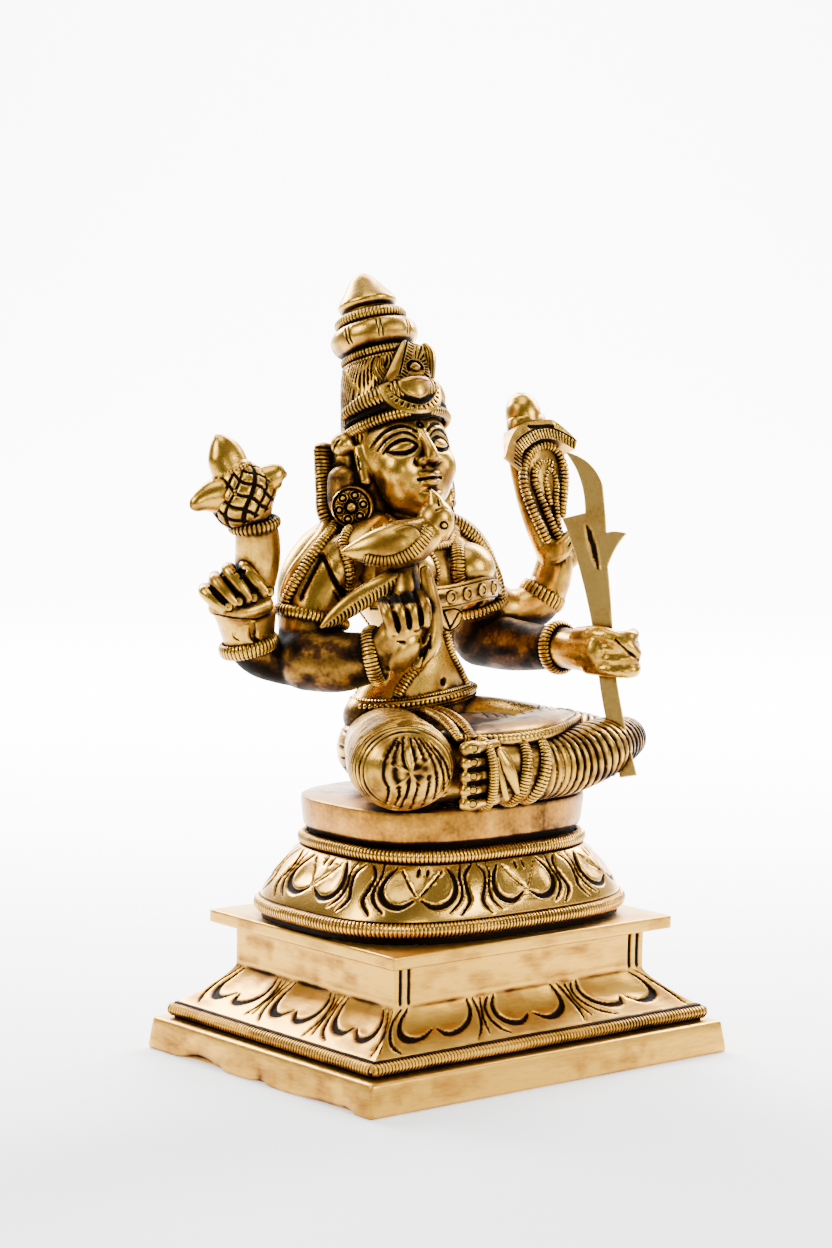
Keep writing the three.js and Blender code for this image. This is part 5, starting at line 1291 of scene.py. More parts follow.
def make_goad():
    fist = ball([-42.6, 17.6, 42.4], [7.0, 5.6, 5.2], (0, 0.15, -0.3), 36, 24)
    heel = limb([[-40.2, 18.4, 37.4, 5.6, 5.4], [-41.6, 17.8, 40.6, 6.4, 5.8]], step=0.4)
    edge = limb([[-50, 15.6, 40.2, 1.5, 1.5], [-44.6, 13, 39.3, 1.8, 1.8], [-38.4, 13.2, 40.6, 2, 2]],
        step=0.4)
    rows = [[[-50.0, 19.0, 44.0], [-51.6, 16.4, 43.4], [-50.6, 14.4, 41.7], [-49.2, 13.2, 40.4]],
        [[-47.6, 18.6, 46.4], [-49.6, 15.6, 45.7], [-48.9, 13.2, 43.3], [-47.4, 12.2, 41.4]],
        [[-44.6, 17.6, 48.2], [-46.9, 15.0, 47.8], [-45.9, 12.6, 45.0], [-44.2, 11.5, 42.2]],
        [[-41.6, 16.4, 48.8], [-43.0, 14.0, 48.0], [-41.8, 12.0, 45.4], [-40.2, 11.1, 43.4]]]
    fingers = [finger(points, [1.3, 1.4, 1.4, 1.3]) for points in rows]
    core = fused([fist, heel, edge, *fingers], 0.28, 2)
    tree = tree_of(core)
    lines = [seen(tree, [[(p + q) / 2 for p, q in zip(u, w)] for u, w in zip(a[1:], b[1:])], 0.7)
        for a, b in zip(rows, rows[1:])]
    engrave(core, lines, 0.75, 0.8)
    marks = [[[-47.6, 12, 47.6], [-46.6, 12, 48.2], [-45.6, 12, 47.5], [-44.8, 12, 48.0]],
        [[-46.0, 12, 46.4], [-45.2, 12, 46.8]], [[-53.1, 12, 39.4], [-46.4, 12, 38.0], [-40.4, 12, 37.9],
        [-36.6, 12, 39.1]]]
    engrave(core, (seen(tree, rows, 0.6) for rows in marks), 0.5, 0.5)
    parts = [core]
    for out in ([-48.9, 12.0, 40.7], [-47.0, 11.0, 41.8], [-43.7, 10.3, 42.5], [-39.8, 9.9, 43.6]):
        place = plane(out, (0.77, -0.64, 0), (-0.25, 0.1, 1))
        parts.append(boss(lambda r, t: (0.95 * r * np.sign(np.cos(t)) * np.abs(np.cos(t)) ** 0.7,
            1.05 * r * np.sin(t)), lambda x, z, r: (0.25 - 0.3 * ridge(r, 0.88, 0.15), ridge(r, 0.92, 0.18)),
            place, 9, 26, 0.8))
    cuff = tube([[-38.0, 19.2, 32.2, 5.4, 5.2], [-38.7, 18.9, 35, 5.9, 5.7], [-39.6, 18.4, 38.2, 6.6, 6.1]],
        across=(1, 0, 0), step=0.25, sides=100, dome=0.2)
    tree = tree_of(cuff)
    slots = [seen(tree, rows, 0.5) for rows in ([[-43.2, 12, 37.2], [-42.5, 12, 35.6], [-42.8, 12, 33.8],
        [-41.3, 12, 32.9]], [[-48, 12, 37], [-47.1, 12, 35.8], [-48.3, 12, 34.5], [-46.4, 12, 33.4]])]
    engrave(cuff, slots[:1], 0.8, 0.7)
    engrave(cuff, slots[1:], 0.3, 0.3)
    parts.append(cuff)
    shaft = tube([[-38.9, 17.6, 42, 4.4, 4.3], [-38.3, 16.4, 49, 4.8, 4.6], [-38.9, 15.6, 54, 4.75, 4.5],
        [-39.9, 15.2, 57.4, 4.4, 4.3]], step=0.5, sides=48, dome=0.2,
        relief=lambda s, angle, total: (0.10 * np.round(np.cos(angle * 3)) + 0 * s, 0 * s + 0 * angle))
    parts.append(shaft)
    parts.append(hoop([-40.1, 15.2, 57.2], (-0.22, -0.02, 1), (4.7, 4.6), 1.25, 1.0, 0.85, 0.26))

    def lattice(s, angle, total):
        x = s / total
        off = 0.09 * np.sin(7 * x + 3 * angle) + 0.07 * np.sin(5 * angle + 11 * x)
        a = groove(angle * 11 / TAU + x * 3.4 + off, 0.3)
        b = groove(angle * 11 / TAU - x * 3.4 + off, 0.3)
        amount = np.maximum(a, b) * smooth((x - 0.08) / 0.05) * smooth((0.93 - x) / 0.05)
        return -0.5 * amount, amount
    bud = tube([[-40.2, 15.2, 57.8, 4.3, 4.2], [-41.4, 15.9, 60.4, 6.9, 5.8], [-42.4, 16.6, 63.8, 7.6, 6.4],
        [-43.6, 17.4, 67.4, 5.6, 5.0], [-44.2, 17.8, 69.4, 3.6, 3.6]], step=0.26, sides=150, dome=0.3,
        relief=lattice)
    parts.append(bud)
    petal = lambda rows, side: tube(rows, across=side, step=0.3, sides=32, dome=0.5)
    top = [[-43.8, 17.4, 66.6, 4.2, 3.6], [-44.6, 18.2, 69.4, 4.5, 3.4], [-45.6, 18.8, 72.4, 3.9, 2.8],
        [-46.8, 19.2, 75.0, 1.6, 1.4], [-47.2, 19.3, 75.7, 0.4, 0.4]]
    left = [[-46.2, 16.8, 63.4, 3.9, 3.4], [-49.2, 17.2, 63.2, 3.5, 3.0], [-52.0, 17.5, 62.4, 2.4, 2.0],
        [-54.2, 17.6, 61.2, 1.2, 1.0], [-54.7, 17.6, 60.9, 0.3, 0.3]]
    right = [[-39.6, 15.6, 65.0, 3.5, 3.0], [-37.2, 14.4, 66.6, 3.1, 2.7], [-35.0, 13.4, 67.6, 2.2, 2.0],
        [-33.9, 12.9, 67.6, 0.7, 0.7]]
    parts += [petal(top, (1, 0, 0)), petal(left, UP), petal(right, UP)]
    parts.append(hoop([-44.2, 17.8, 68.4], (-0.35, 0.25, 1), (4.1, 3.6), 0.6, 0.7, 0.7, 0.2))
    parts.append(hoop([-46.6, 16.8, 63.4], (-1, 0.1, 0), (4.0, 3.5), 0.5, 0.7, 0.7, 0.14, side=UP))
    return merged(parts)


def make_noose():
    hand = ball([42, 12, 48.6], [4.9, 3.9, 4.6], (0, 0, 0), 30, 22)
    wrist = limb([[41, 12.8, 42, 4.3, 4.1], [42, 12.2, 46, 4.3, 3.9]], step=0.5)
    hood = tube([[41.4, 12.6, 49, 4.4, 2.8], [40, 14, 54, 4.8, 2.8], [39.8, 15.6, 60, 6.1, 2.9],
        [40.6, 17.6, 66, 7.2, 3.0], [41.2, 19.6, 71.6, 7.0, 3.0], [41.6, 20.8, 75, 5.6, 3.0]],
        across=(1, 0, 0), step=0.5, sides=48, dome=0.3)
    thumb = finger([[44.6, 11.6, 45.2], [46.4, 9.8, 48.6], [45.4, 9.6, 52.2]], [1.8, 1.9, 1.4])
    fingers = [finger([[38.6, 11.4, 46.4 + k], [40.6, 8.9, 48.0 + 1.2 * k], [43.4, 8.8, 50.6 + k]],
        [1.3, 1.4, 1.2]) for k in range(3)]
    core = fused([hand, wrist, hood, thumb, *fingers], 0.32, 4)
    tree = tree_of(core)
    ticks = [laid(tree, [[44.2 + k * 1.1, 6, 52.4 - 0.5 * k], [45.4 + k * 1.1, 6, 49.8 - 0.5 * k]], VIEW)
        for k in range(3)]
    ticks.append(laid(tree, [[40.4, 6, 50.2], [42.4, 6, 52.6], [44.6, 6, 54.4]], VIEW))
    engrave(core, ticks, 0.45, 0.4)
    parts = [core]
    # The noose: three hatched loops one inside another, the inmost round a dark slit
    loops = (([[36.7, 9.1, 51.4], [35.0, 11.0, 56.3], [33.8, 12.9, 61.2], [34.0, 14.5, 65.2],
        [35.9, 15.8, 68.8], [39.1, 16.8, 71.2], [42.2, 17.0, 71.9], [44.8, 16.8, 71.3], [46.6, 15.9, 69.0],
        [46.7, 14.7, 65.7], [45.1, 13.1, 61.7], [42.9, 11.2, 56.8]], 1.15, 0.98),
        ([[40.8, 8.9, 50.7], [39.0, 11.0, 56.3], [37.7, 12.9, 61.1], [37.1, 14.1, 64.3], [38.3, 15.2, 67.1],
        [41.0, 15.8, 68.6], [43.5, 15.4, 67.6]], 0.95, 0.86), ([[40.9, 9.1, 51.2], [41.4, 10.9, 56.1],
        [42.2, 12.5, 60.1], [43.3, 13.7, 63.3], [43.3, 14.7, 65.4], [42.0, 15.1, 66.6], [40.6, 14.4, 65.0],
        [40.0, 13.2, 62.0], [40.2, 12.2, 59.4]], 0.85, 0.86))
    for points, thick, pitch in loops:
        parts.append(tube([[*p, thick, thick * 0.85, 0, -1, 0.35] for p in points], step=pitch / 4.2,
            sides=14, relief=hatched(pitch, 0.28)))
    # Gable with a hatched band along its arched foot and a slot under the bud
    edge = lambda rows: curve([[x, z, 0] for x, z in rows], count=190)[:, :2]
    low = edge([(-9.2, -0.9), (-7.7, 3.2), (-4.5, 5.2), (-1.4, 6.2), (1.4, 6.3), (4.0, 5.6), (6.0, 4.6),
        (8.0, 3.5)])
    high = edge([(-13.2, 2.3), (-11.0, 5.9), (-7.8, 9.0), (-5.0, 10.1), (-1, 10.5), (3.1, 10.7), (6.4, 8.6),
        (9.5, 5.7)])
    t = np.linspace(0, 1, 24)
    flat = low[:, None] + (high - low)[:, None] * t[None, :, None]
    x, z = flat[..., 0], flat[..., 1]
    rise = np.linalg.norm(high - low, axis=1)[:, None] * t
    ticks = groove(np.linspace(0, 26, len(x))[:, None] / 0.98 + 0.15 * rise,
        0.6) * (rise < 2.4) * smooth(rise / 0.3)
    slot = smooth(1.4 - np.hypot(np.clip(np.abs(x + 0.6) - 3.6, 0, None), z - 9.2) / 0.45)
    line = np.maximum(ridge(rise, 2.6, 0.35) * (np.abs(x) < 9), slot)
    shade_end = 0.34 * smooth((-7 - x) / 3)
    place = plane([42, 15.6, 67], (1, 0, 0), (0, 0.34, 0.94))
    front = place(x, z, 1.7 - 0.3 * ticks - 0.4 * line)
    back = place(x[:, [-1, 0]], z[:, [-1, 0]], np.interp(x[:, [-1, -1]], [-12.5, -7], [0.9, -3.8]))
    parts.append(loft(np.concatenate([front, back], 1), np.concatenate([np.maximum(np.maximum(ticks, line),
        shade_end), np.full((len(x), 2), 0.4)], 1)))
    parts.append(limb([[41.6, 21.6, 74.6, 5.6, 3.6], [41.4, 22.4, 77.8, 5.0, 3.5]], step=0.4, sides=40,
        dome=0.25))
    parts.append(tube([[41.2, 22.4, 76.6, 4.0, 3.8], [41.1, 23, 79.0, 4.1, 3.9], [40.9, 23.8, 81.4, 3.3, 3.2],
        [40.6, 24.3, 83.0, 1.7, 1.7], [40.5, 24.4, 83.5, 0.3, 0.3]], step=0.3, sides=48, dome=0.1))
    return merged(parts)


def make_left_front():
    hand = limb([[29, -5.6, 29.2, 4.5, 4.2], [28.6, -10.5, 29.2, 4.4, 4.2], [28.2, -14.5, 29.4, 3.9, 4.4],
        [27.8, -17.6, 29.8, 3.2, 4.0]], step=0.4)
    curled = []
    for k in range(4):
        z = 26.4 + 2.35 * k
        curled.append(finger([[27.0, -15.4, z], [28.6, -20.6 + 0.2 * k, z - 0.4],
            [32.4, -23.4 + 0.3 * k, z - 0.4], [35.2, -21.6 + 0.3 * k, z]], [1.7, 1.5, 1.6, 1.4]))
    thumb = finger([[27.4, -12, 32.6], [28.0, -18.0, 33.4], [30.8, -22.6, 31.8], [33.4, -23.4, 29.4]],
        [2.1, 2.0, 1.9, 1.6])
    pad = limb([[30.2, -13.6, 30, 2.4, 3.6], [33.2, -17.4, 30, 2.2, 3.9], [35.2, -20, 30, 1.7, 3.6]],
        step=0.4)
    core = fused([hand, *curled, thumb, pad], 0.3, 3)
    place = stalk_frame()
    inside = core.v - place["origin"]
    w, n = inside @ place["across"], inside @ place["normal"]
    half = STALK_THICK / 2 + 0.32
    low, high = -STALK_WIDE - 0.55, 0.5
    deep = (w > low) & (w < high) & (np.abs(n) < half)
    core.v[deep] += (np.sign(n[deep]) * (half - np.abs(n[deep])))[:, None] * place["normal"]
    tree = tree_of(core)
    lines = [laid(tree, [[35.4, -30, z], [33.6, -30, z - 0.3], [31.6, -30, z - 0.4]], VIEW)
        for z in (27.4, 29.8, 32.2)]
    lines.append(laid(tree, [[26, -25, 33.2], [28.5, -25, 31.6], [31, -25, 29.6], [33, -25, 28.2]], VIEW))
    engrave(core, lines, 0.5, 0.5)
    core.v += core.normals() * (0.07 * noise(core.v, 0.9, 71) * smooth((-core.v[:, 1] - 14) / 3))[:, None]
    return core


def make_parrot():
    body = tube([[-25.4, 4.4, 51.6, 0.5, 0.4], [-23.2, 2.2, 52.0, 2.2, 1.8], [-19.8, -0.3, 52.7, 3.9, 3.3],
        [-15.9, -2.0, 53.2, 5.0, 4.4], [-12.4, -3.0, 54.0, 4.8, 4.3], [-9.4, -3.2, 55.2, 4.0, 3.9]],
        across=UP, step=0.35, sides=40)
    head = ball([-6.4, -3.2, 57.8], [4.0, 4.0, 4.8], (0, 0.2, 0), across=32, down=24)
    beak = tube([[-6.4, -3.4, 61.0, 2.4, 2.2], [-6.8, -3.2, 62.6, 1.7, 1.5], [-7.4, -2.8, 64.4, 0.5, 0.5]],
        across=(1, 0, 0), step=0.3, sides=24)
    perch = limb([[-13, -1.6, 48.4, 2.6], [-13.8, -3.0, 43, 3]], step=0.4)
    core = fused([body, head, beak, perch], 0.25, 4)
    tree = tree_of(core)
    ring = [[-7.1 + 0.64 * math.cos(a), -7.0 - 0.54 * math.cos(a), 57.4 + 0.8 * math.sin(a)]
        for a in np.linspace(0, TAU, 18)]
    lines = [laid(tree, points, VIEW) for points in (ring, [[-9.6, -7, 60.6], [-7.8, -7, 61.3],
        [-6.0, -7, 60.9]], [[-8.9, -7, 63.2], [-8.6, -7, 61.6]], [[-7.6, -7, 63.4], [-7.4, -7, 61.6]])]
    engrave(core, lines, 0.3, 0.34)
    # Wing: a smooth drop bordered by a groove
    place = plane([-18.0, -4.0, 54.3], (0.80, -0.56, 0.12), (-0.16, 0.06, 1))
    drop = lambda r, t: (0.7 + 5.0 * r * np.cos(t), 2.7 * r * np.sin(t) * (1 + 0.55 * np.cos(t)))
    wing = boss(drop, lambda x, z, r: (1.1 * np.sqrt(np.clip(1 - r ** 2 * 0.95, 0, 1)) - 0.2,
        smooth((r - 0.93) / 0.06)), place, 26, 70, 3.2)
    under = laid(tree, [[-23.4, -1.0, 50.6], [-22.0, -3.0, 49.9], [-20.4, -5.0, 50.0], [-17.6, -6.0, 50.7],
        [-14.6, -6.5, 52.2], [-12.2, -6.7, 54.6], [-11.2, -6.9, 57.0]], VIEW)
    band = strap(tree, under, 1.6, 0.5, 0.78, 0.24, lift=0.0)

    def feathers(s, angle, total):
        amount = groove((s + 1.8 * np.sin(angle)) / 0.92, 0.6) * smooth(-4 * np.cos(angle)
            + 0.6) * smooth((total - s) / 3) * smooth(s / 1.5)
        return -0.26 * amount, 0.85 * amount
    tail = tube([[-14.2, -2.2, 47.2, 1.5, 1.3], [-17, -0.6, 45.2, 2.2, 1.4], [-20.2, 2.0, 42.7, 2.4, 1.3],
        [-24, 4.4, 39.6, 2.2, 1.2], [-27.2, 6.2, 36.8, 1.3, 0.8], [-28.6, 6.9, 35.8, 0.4, 0.4]], across=UP,
        step=0.18, sides=36, dome=0.4, relief=feathers)
    return merged([core, wing, band, tail])


# Sugarcane stalk

STALK_THICK, STALK_WIDE = 1.5, 3.8


def stalk_frame():
    along = unit([0, 0.235, 0.972])
    across = np.array([0.7, -0.714, 0])
    across = unit(across - (across @ along) * along)
    return {"origin": np.array([31, -19, 30.1]), "along": along, "across": across,
        "normal": np.cross(across, along)}


def bezier(p, q, r, count=14):
    t = np.linspace(0, 1, count)[1:, None]
    p, q, r = (np.array(x, float) for x in (p, q, r))
    return (1 - t) ** 2 * p + 2 * t * (1 - t) * q + t * t * r


def make_stalk():
    left = -STALK_WIDE - 0.1
    path = [np.array([[left + 1.6, -27.4]])]

    def to(*points):
        start = path[-1][-1]
        path.append(bezier(start, *points) if len(points) == 2 else np.linspace(start, points[0], 8)[1:])

    to((1.4, -27.4))
    to((-0.6, -10), (0.1, 0))
    to((1, 8), (1.4, 18))
    to((3.4, 22), (6.4, 24.4))
    to((4, 25.6), (2.1, 25.2))
    to((2.6, 31), (2.7, 35.6))
    to((1.6, 41.6), (-4.4, 43.9))
    to((-0.8, 38), (-1.9, 30.1))
    to((-7, 29.6))
    to((-5.2, 24), (left - 0.3, 13))
    to((left + 0.5, 4), (left + 0.1, -4))
    to((left - 0.3, -12), (left + 1.6, -27.4))
    outline = np.concatenate(path)[:-1]
    place = stalk_frame()
    bm = bmesh.new()
    verts = [bm.verts.new(Vector((p[0], p[1], -STALK_THICK / 2))) for p in outline]
    face = bm.faces.new(verts)
    drawn = bmesh.ops.extrude_face_region(bm, geom=[face])
    for item in drawn["geom"]:
        if isinstance(item, bmesh.types.BMVert):
            item.co.z = STALK_THICK / 2
    bmesh.ops.recalc_face_normals(bm, faces=bm.faces)
    rims = [edge for edge in bm.edges if abs(edge.verts[0].co.z - edge.verts[1].co.z) < 1e-6]
    bmesh.ops.bevel(bm, geom=rims, offset=0.16, segments=2, profile=0.5, affect="EDGES", material=-1)
    bmesh.ops.triangulate(bm, faces=[f for f in bm.faces if len(f.verts) > 4])
    for low in np.arange(-27, 44, 0.7):
        sliced(bm, (0, low, 0), (0, 1, 0))
    for low in np.arange(-6.8, 6.2, 0.5):
        sliced(bm, (low, 0, 0), (1, 0, 0))
    bmesh.ops.remove_doubles(bm, verts=bm.verts, dist=0.001)
    bmesh.ops.recalc_face_normals(bm, faces=bm.faces)
    bm.verts.index_update()
    flat = np.array([vert.co for vert in bm.verts])
    faces = [tuple(vert.index for vert in f.verts) for f in bm.faces]
    bm.free()
    # The worn slot below the leaves, on both faces
    slot = [(-0.6 - 0.115 * (y - 17.5), y, 0.25 + 0.6 * math.sin(math.pi * (y - 17.4) / 9.8) ** 0.8)
        for y in np.linspace(17.5, 27, 18)]
    near = np.full(len(flat), 9.0)
    for x, y, r in slot:
        near = np.minimum(near, np.hypot(flat[:, 0] - x, flat[:, 1] - y) / r)
    dent = smooth(1.25 - near)
    side = np.sign(flat[:, 2])
    broad = np.abs(flat[:, 2]) > STALK_THICK / 2 - 0.05
    flat[:, 2] -= side * 0.4 * dent * broad
    flat[:, 2] += 0.03 * noise(flat * [1, 0.2, 1], 1.2, 81) * broad
    points = place["origin"] + flat[:, :1] * place["across"] + flat[:, 1:2] * place["along"] + flat[:,
        2:] * place["normal"]
    return Skin(points, faces, 0.75 * dent * broad * (0.75 + 0.25 * noise(flat, 0.8, 83)))


# Finish

def shade(name, light, mid, dark, rough=0.3, grain=0.05, along=None):
    """Brass: bright where it is rubbed, brown in the hollows, near black in what is cut. The attribute that
    drives the colour holds patina and painted shade.
    """
    material = bpy.data.materials.new(name)
    material.use_nodes = True
    nodes, links = material.node_tree.nodes, material.node_tree.links
    surface = nodes["Principled BSDF"]
    surface.inputs["Metallic"].default_value = 1.0
    place = nodes.new("ShaderNodeTexCoord")
    scale = nodes.new("ShaderNodeMapping")
    scale.inputs["Scale"].default_value = along or (1, 1, 1)
    links.new(place.outputs["Object"], scale.inputs["Vector"])

    def noise_at(size, detail=3.0, source=scale):
        node = nodes.new("ShaderNodeTexNoise")
        node.inputs["Scale"].default_value = 1 / (size * MM)
        node.inputs["Detail"].default_value = detail
        links.new(source.outputs["Vector"], node.inputs["Vector"])
        return node.outputs["Fac"]

    def ramp(value, stops):
        node = nodes.new("ShaderNodeValToRGB")
        elements = node.color_ramp.elements
        while len(elements) < len(stops):
            elements.new(0.5)
        for element, (at, colour) in zip(elements, stops):
            element.position = at
            element.color = (*colour, 1) if len(colour) == 3 else colour
        links.new(value, node.inputs["Fac"])
        return node.outputs["Color"]

    def calc(kind, a, b):
        node = nodes.new("ShaderNodeMath")
        node.operation = kind
        for socket, value in zip(node.inputs, (a, b)):
            if isinstance(value, (int, float)):
                socket.default_value = value
            else:
                links.new(value, socket)
        return node.outputs[0]

    tarnish_and_shade = nodes.new("ShaderNodeAttribute")
    tarnish_and_shade.attribute_name = "tarnish_and_shade"
    blotch = calc("MULTIPLY", calc("SUBTRACT", noise_at(6, 4), 0.5), 0.4)
    fine = calc("MULTIPLY", calc("SUBTRACT", noise_at(0.9, 5), 0.5), 0.36)
    amount = calc("ADD", tarnish_and_shade.outputs["Fac"], calc("ADD", blotch, fine))
    colour = ramp(amount, [(0.0, light), (0.30, mid), (0.58, dark), (0.8, (0.008, 0.005, 0.003))])
    links.new(colour, surface.inputs["Base Color"])
    rough_ramp = ramp(amount, [(0.0, (rough,) * 3), (0.4, (rough + 0.12,) * 3), (0.8, (0.75,) * 3)])
    links.new(rough_ramp, surface.inputs["Roughness"])
    bump = nodes.new("ShaderNodeBump")
    bump.inputs["Strength"].default_value = 0.35
    bump.inputs["Distance"].default_value = grain * MM
    height = calc("ADD", noise_at(0.35, 4), calc("MULTIPLY", noise_at(1.6, 4), 1.6))
    links.new(height, bump.inputs["Height"])
    links.new(bump.outputs["Normal"], surface.inputs["Normal"])
    return material


HOLLOW_REACH, HOLLOW_RAYS = 4.0, 10


def hollows(skins):
    """How enclosed each point is, from 0 to 1, by short rays over all the skins together."""
    whole = merged(skins)
    tree = BVHTree.FromPolygons(whole.v.tolist(), whole.f)
    rays = []
    golden = math.pi * (3 - 5 ** 0.5)
    for i in range(HOLLOW_RAYS):
        z = 0.25 + 0.7 * (i + 0.5) / HOLLOW_RAYS
        rays.append((math.cos(golden * i) * (1 - z * z) ** 0.5, math.sin(golden * i) * (1 - z * z) ** 0.5, z))
    rays = np.array(rays)
    found = []
    for skin in skins:
        n = skin.normals()
        side = unit(np.cross(n, np.where(np.abs(n[:, 2:]) < 0.8, [[0, 0, 1.0]], [[1.0, 0, 0]])))
        other = np.cross(n, side)
        start = skin.v + n * 0.12
        blocked = np.zeros(len(start))
        for x, y, z in rays:
            ways = side * x + other * y + n * z
            cast = tree.ray_cast
            for i, (p, w) in enumerate(zip(start.tolist(), ways.tolist())):
                gap = cast(p, w, HOLLOW_REACH)[3]
                if gap is not None:
                    blocked[i] += 1 - gap / HOLLOW_REACH
        found.append(blocked / HOLLOW_RAYS)
    return found


def raised(skin, rounds=7):
    """How far each point stands above the surface close round it, in millimetres."""
    even = Skin(skin.v, skin.f).relax(rounds)
    return ((skin.v - even.v) * skin.normals()).sum(1)


# Meshes over THIN_FROM triangles keep this share of them, and at most PIECE_MOST
THIN_FROM, THIN_SHARE, PIECE_MOST = 40000, 0.68, 185000
FIGURE_PATINA = 0.36


def triangles(mesh):
    return sum(len(face.vertices) - 2 for face in mesh.polygons)


def thinned(piece, share, most):
    """Thins a piece's mesh to a share of its triangles, or to the most that it may have."""
    full = piece.data
    thin = piece.modifiers.new("thin", "DECIMATE")
    thin.ratio = min(share, most / triangles(full))
    slim = bpy.data.meshes.new_from_object(piece.evaluated_get(bpy.context.evaluated_depsgraph_get()))
    piece.modifiers.clear()
    piece.data = slim
    bpy.data.meshes.remove(full)
    slim.name = piece.name
    return slim


def place_piece(name, skin, material, hollow, node=None, patina=0.25):
    mesh = bpy.data.meshes.new(name)
    mesh.from_pydata((skin.v * MM).tolist(), [], skin.f)
    high = raised(skin)
    # The colour's darkness: the skin's own, from cut lines and painted shade, then patina and painted shade
    # where nearby parts enclose a point
    value = 0.95 * skin.cut + 1.7 * np.clip(hollow - 0.08, 0, 1)
    value += 4.5 * np.clip(-high - 0.01, 0, 0.14) - 1.4 * np.clip(high, 0, 0.12)
    # Painted shade: faces that look down are darker
    value += 0.22 * np.clip(-skin.normals()[:, 2], 0, 1)
    value += patina * smooth(0.25 + 0.9 * noise(skin.v, 8, 91) + 0.7 * noise(skin.v, 2.6, 92))
    value = np.clip(value, 0, 1)
    mesh.attributes.new("tarnish_and_shade", "FLOAT", "POINT").data.foreach_set("value", value.astype(np.float32))
    mesh.polygons.foreach_set("use_smooth", np.ones(len(mesh.polygons), bool))
    mesh.materials.append(material)
    piece = bpy.data.objects.new(name, mesh)
    bpy.context.collection.objects.link(piece)
    bm = bmesh.new()
    bm.from_mesh(mesh)
    bmesh.ops.recalc_face_normals(bm, faces=bm.faces)
    bm.to_mesh(mesh)
    bm.free()
    if triangles(mesh) > THIN_FROM:
        mesh = thinned(piece, THIN_SHARE, PIECE_MOST)
    mesh.set_sharp_from_angle(angle=math.radians(48))
    print(name, "triangles", triangles(mesh))
    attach(piece, "root")
    if node:
        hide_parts(node)
    return piece


# Studio

def studio():
    floor = bpy.data.meshes.new("floor")
    bm = bmesh.new()
    across, back, bend, high = 3.0, 0.9, 0.5, 2.2
    profile = [(-0.42, 0.0), (back, 0.0)]
    profile += [(back + bend * math.sin(a), bend * (1 - math.cos(a)))
        for a in np.linspace(0, TAU / 4, 14)[1:]]
    profile += [(back + bend, high)]
    turn = math.radians(AZIMUTH)
    rows = []
    for y, z in profile:
        rows.append([bm.verts.new((x * math.cos(turn) - y * math.sin(turn),
            x * math.sin(turn) + y * math.cos(turn), z)) for x in (-across, across)])
    for a, b in zip(rows, rows[1:]):
        bm.faces.new((a[0], a[1], b[1], b[0])).smooth = True
    bm.to_mesh(floor)
    bm.free()
    paper = bpy.data.materials.new("paper")
    paper.use_nodes = True
    values = {"Base Color": (0.93, 0.93, 0.93, 1), "Roughness": 0.9, "Emission Color": (1, 1, 1, 1),
        "Emission Strength": 0.62}
    for socket, value in values.items():
        paper.node_tree.nodes["Principled BSDF"].inputs[socket].default_value = value
    floor.materials.append(paper)
    piece = bpy.data.objects.new("floor", floor)
    bpy.context.collection.objects.link(piece)
    piece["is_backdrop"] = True

    def lamp(name, az, el, away, size, watts, aim=None):
        data = bpy.data.lights.new(name, "AREA")
        data.shape = "RECTANGLE"
        data.size = data.size_y = size
        data.energy = watts
        light = bpy.data.objects.new(name, data)
        a, e = math.radians(az), math.radians(el)
        middle = Vector((0, 0, 0.08))
        spot = Vector((math.sin(a) * math.cos(e), -math.cos(a) * math.cos(e), math.sin(e))) * away + middle
        light.location = spot
        target = middle
        if aim:
            target = Vector((-math.sin(turn) * aim[1], math.cos(turn) * aim[1], aim[0] * 0.3))
        light.rotation_euler = (target - spot).to_track_quat("-Z", "Y").to_euler()
        bpy.context.collection.objects.link(light)
        light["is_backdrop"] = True

    lamp("key", AZIMUTH - 55, 35, 0.8, 0.35, 5.5)
    lamp("fill", AZIMUTH + 65, 22, 0.8, 0.3, 4.6)
    lamp("top", AZIMUTH, 80, 0.9, 0.5, 3.8)
    lamp("front", AZIMUTH + 22, 10, 1.2, 0.3, 2.6)
    lamp("wall left", AZIMUTH + 150, 35, 0.8, 0.6, 46, aim=(0.5, 0.8))
    lamp("wall right", AZIMUTH - 150, 35, 0.8, 0.6, 46, aim=(0.5, 0.8))
    world = bpy.data.worlds.new("studio")
    world.use_nodes = True
    world.node_tree.nodes["Background"].inputs["Color"].default_value = (1, 1, 1, 1)
    world.node_tree.nodes["Background"].inputs["Strength"].default_value = 0.14
    bpy.context.scene.world = world


# The camera, from a fit of the plinth's corners
AZIMUTH, ELEVATION, ROLL = -40.017, 6.094, 1.059
DISTANCE, ASIDE, AIM_Z, LENS = 0.69803, -0.006477, 0.092377, 94.52


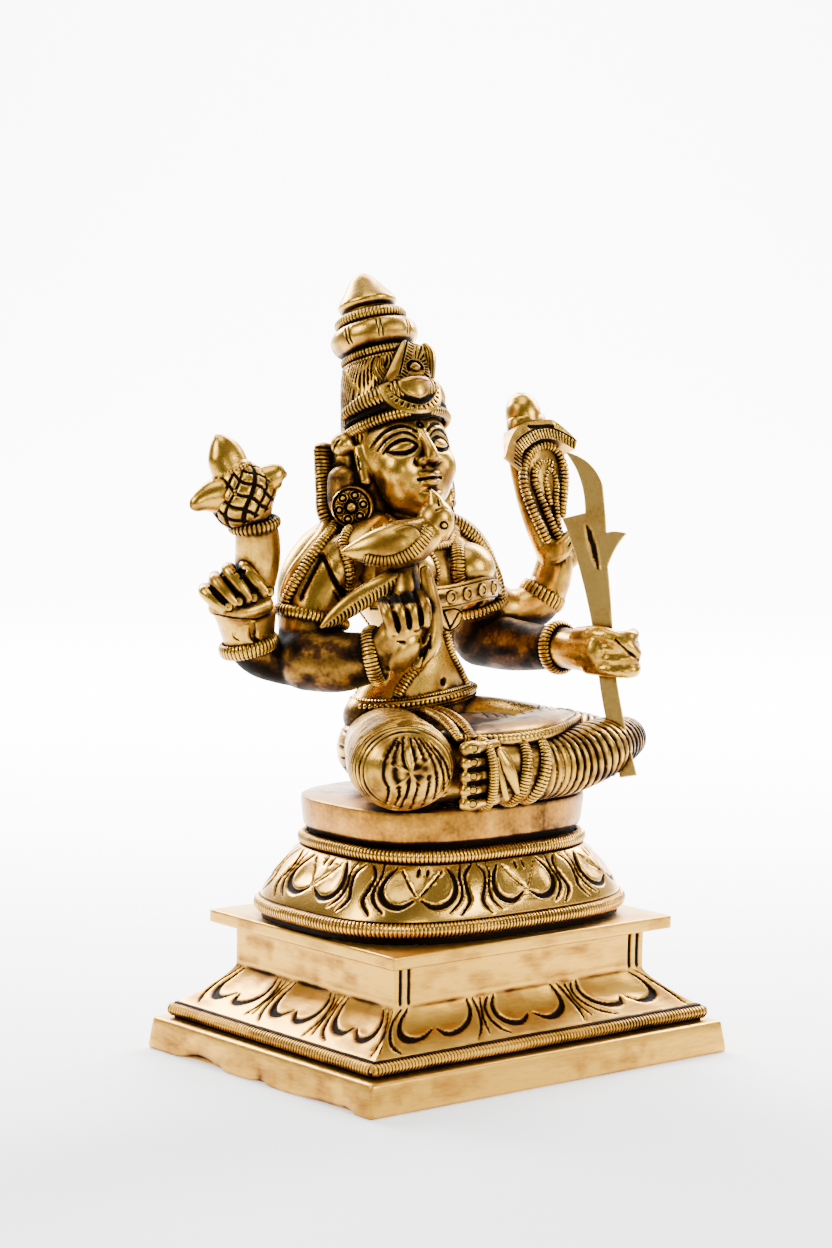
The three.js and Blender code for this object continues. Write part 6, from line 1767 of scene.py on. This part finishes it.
def camera():
    a, e, r = (math.radians(x) for x in (AZIMUTH, ELEVATION, ROLL))
    back = Vector((math.sin(a) * math.cos(e), -math.cos(a) * math.cos(e), math.sin(e)))
    right = Vector((math.cos(a), math.sin(a), 0))
    up = back.cross(right)
    right2 = right * math.cos(r) + up * math.sin(r)
    up2 = up * math.cos(r) - right * math.sin(r)
    data = bpy.data.cameras.new("camera")
    data.lens, data.sensor_width = LENS, 36
    data.clip_start = 0.01
    eye = bpy.data.objects.new("camera", data)
    turn = Matrix((right2, up2, back)).transposed().to_4x4()
    turn.translation = Vector((0, 0, AIM_Z)) + right * ASIDE + back * DISTANCE
    eye.matrix_world = turn
    bpy.context.collection.objects.link(eye)
    bpy.context.scene.camera = eye
    eye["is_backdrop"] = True


plinth = make_plinth()
seat = make_seat()
figure = {"legs": make_legs(), "body": make_body(), "head": make_head(), "right_hand": make_right_front(),
    "goad_hand": make_goad(), "noose_hand": make_noose(), "left_hand": make_left_front(),
    "parrot": make_parrot(), "stalk": make_stalk()}
for skin in figure.values():
    skin.v[:, 2] += FIGURE_FOOT
skins = {"plinth": plinth, "lotus_seat": seat, **figure}
# How enclosed each point is, which darkens its colour: patina and painted shade
enclosed = dict(zip(skins, hollows(list(skins.values()))))
yellow = shade("cast brass", (0.67, 0.36, 0.04), (0.36, 0.155, 0.014), (0.055, 0.020, 0.004), 0.36, 0.10,
    (0.35, 0.35, 1.6))
polished = shade("polished brass", (0.75, 0.42, 0.06), (0.38, 0.165, 0.015), (0.055, 0.020, 0.004), 0.24,
    0.06)
place_piece("plinth_casting", plinth, yellow, enclosed["plinth"], "plinth")
place_piece("lotus_seat_casting", seat, polished, enclosed["lotus_seat"], "lotus_seat", 0.16)
warm = shade("rubbed brass", (0.64, 0.36, 0.04), (0.30, 0.145, 0.018), (0.045, 0.018, 0.005), 0.27, 0.07)
brushed = shade("brushed brass", (0.71, 0.44, 0.10), (0.36, 0.18, 0.03), (0.045, 0.018, 0.004), 0.36, 0.05)
for name in figure:
    if name != "stalk":
        place_piece("figure_" + name, figure[name], warm, enclosed[name], "goddess_figure",
            FIGURE_PATINA)
place_piece("stalk_strip", figure["stalk"], brushed, enclosed["stalk"], "sugarcane_stalk")
studio()
camera()
as_lists = lambda bounds: [[float(x) for x in corner] for corner in bounds]
{"start": as_lists(start_bounds), "end": as_lists(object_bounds())}
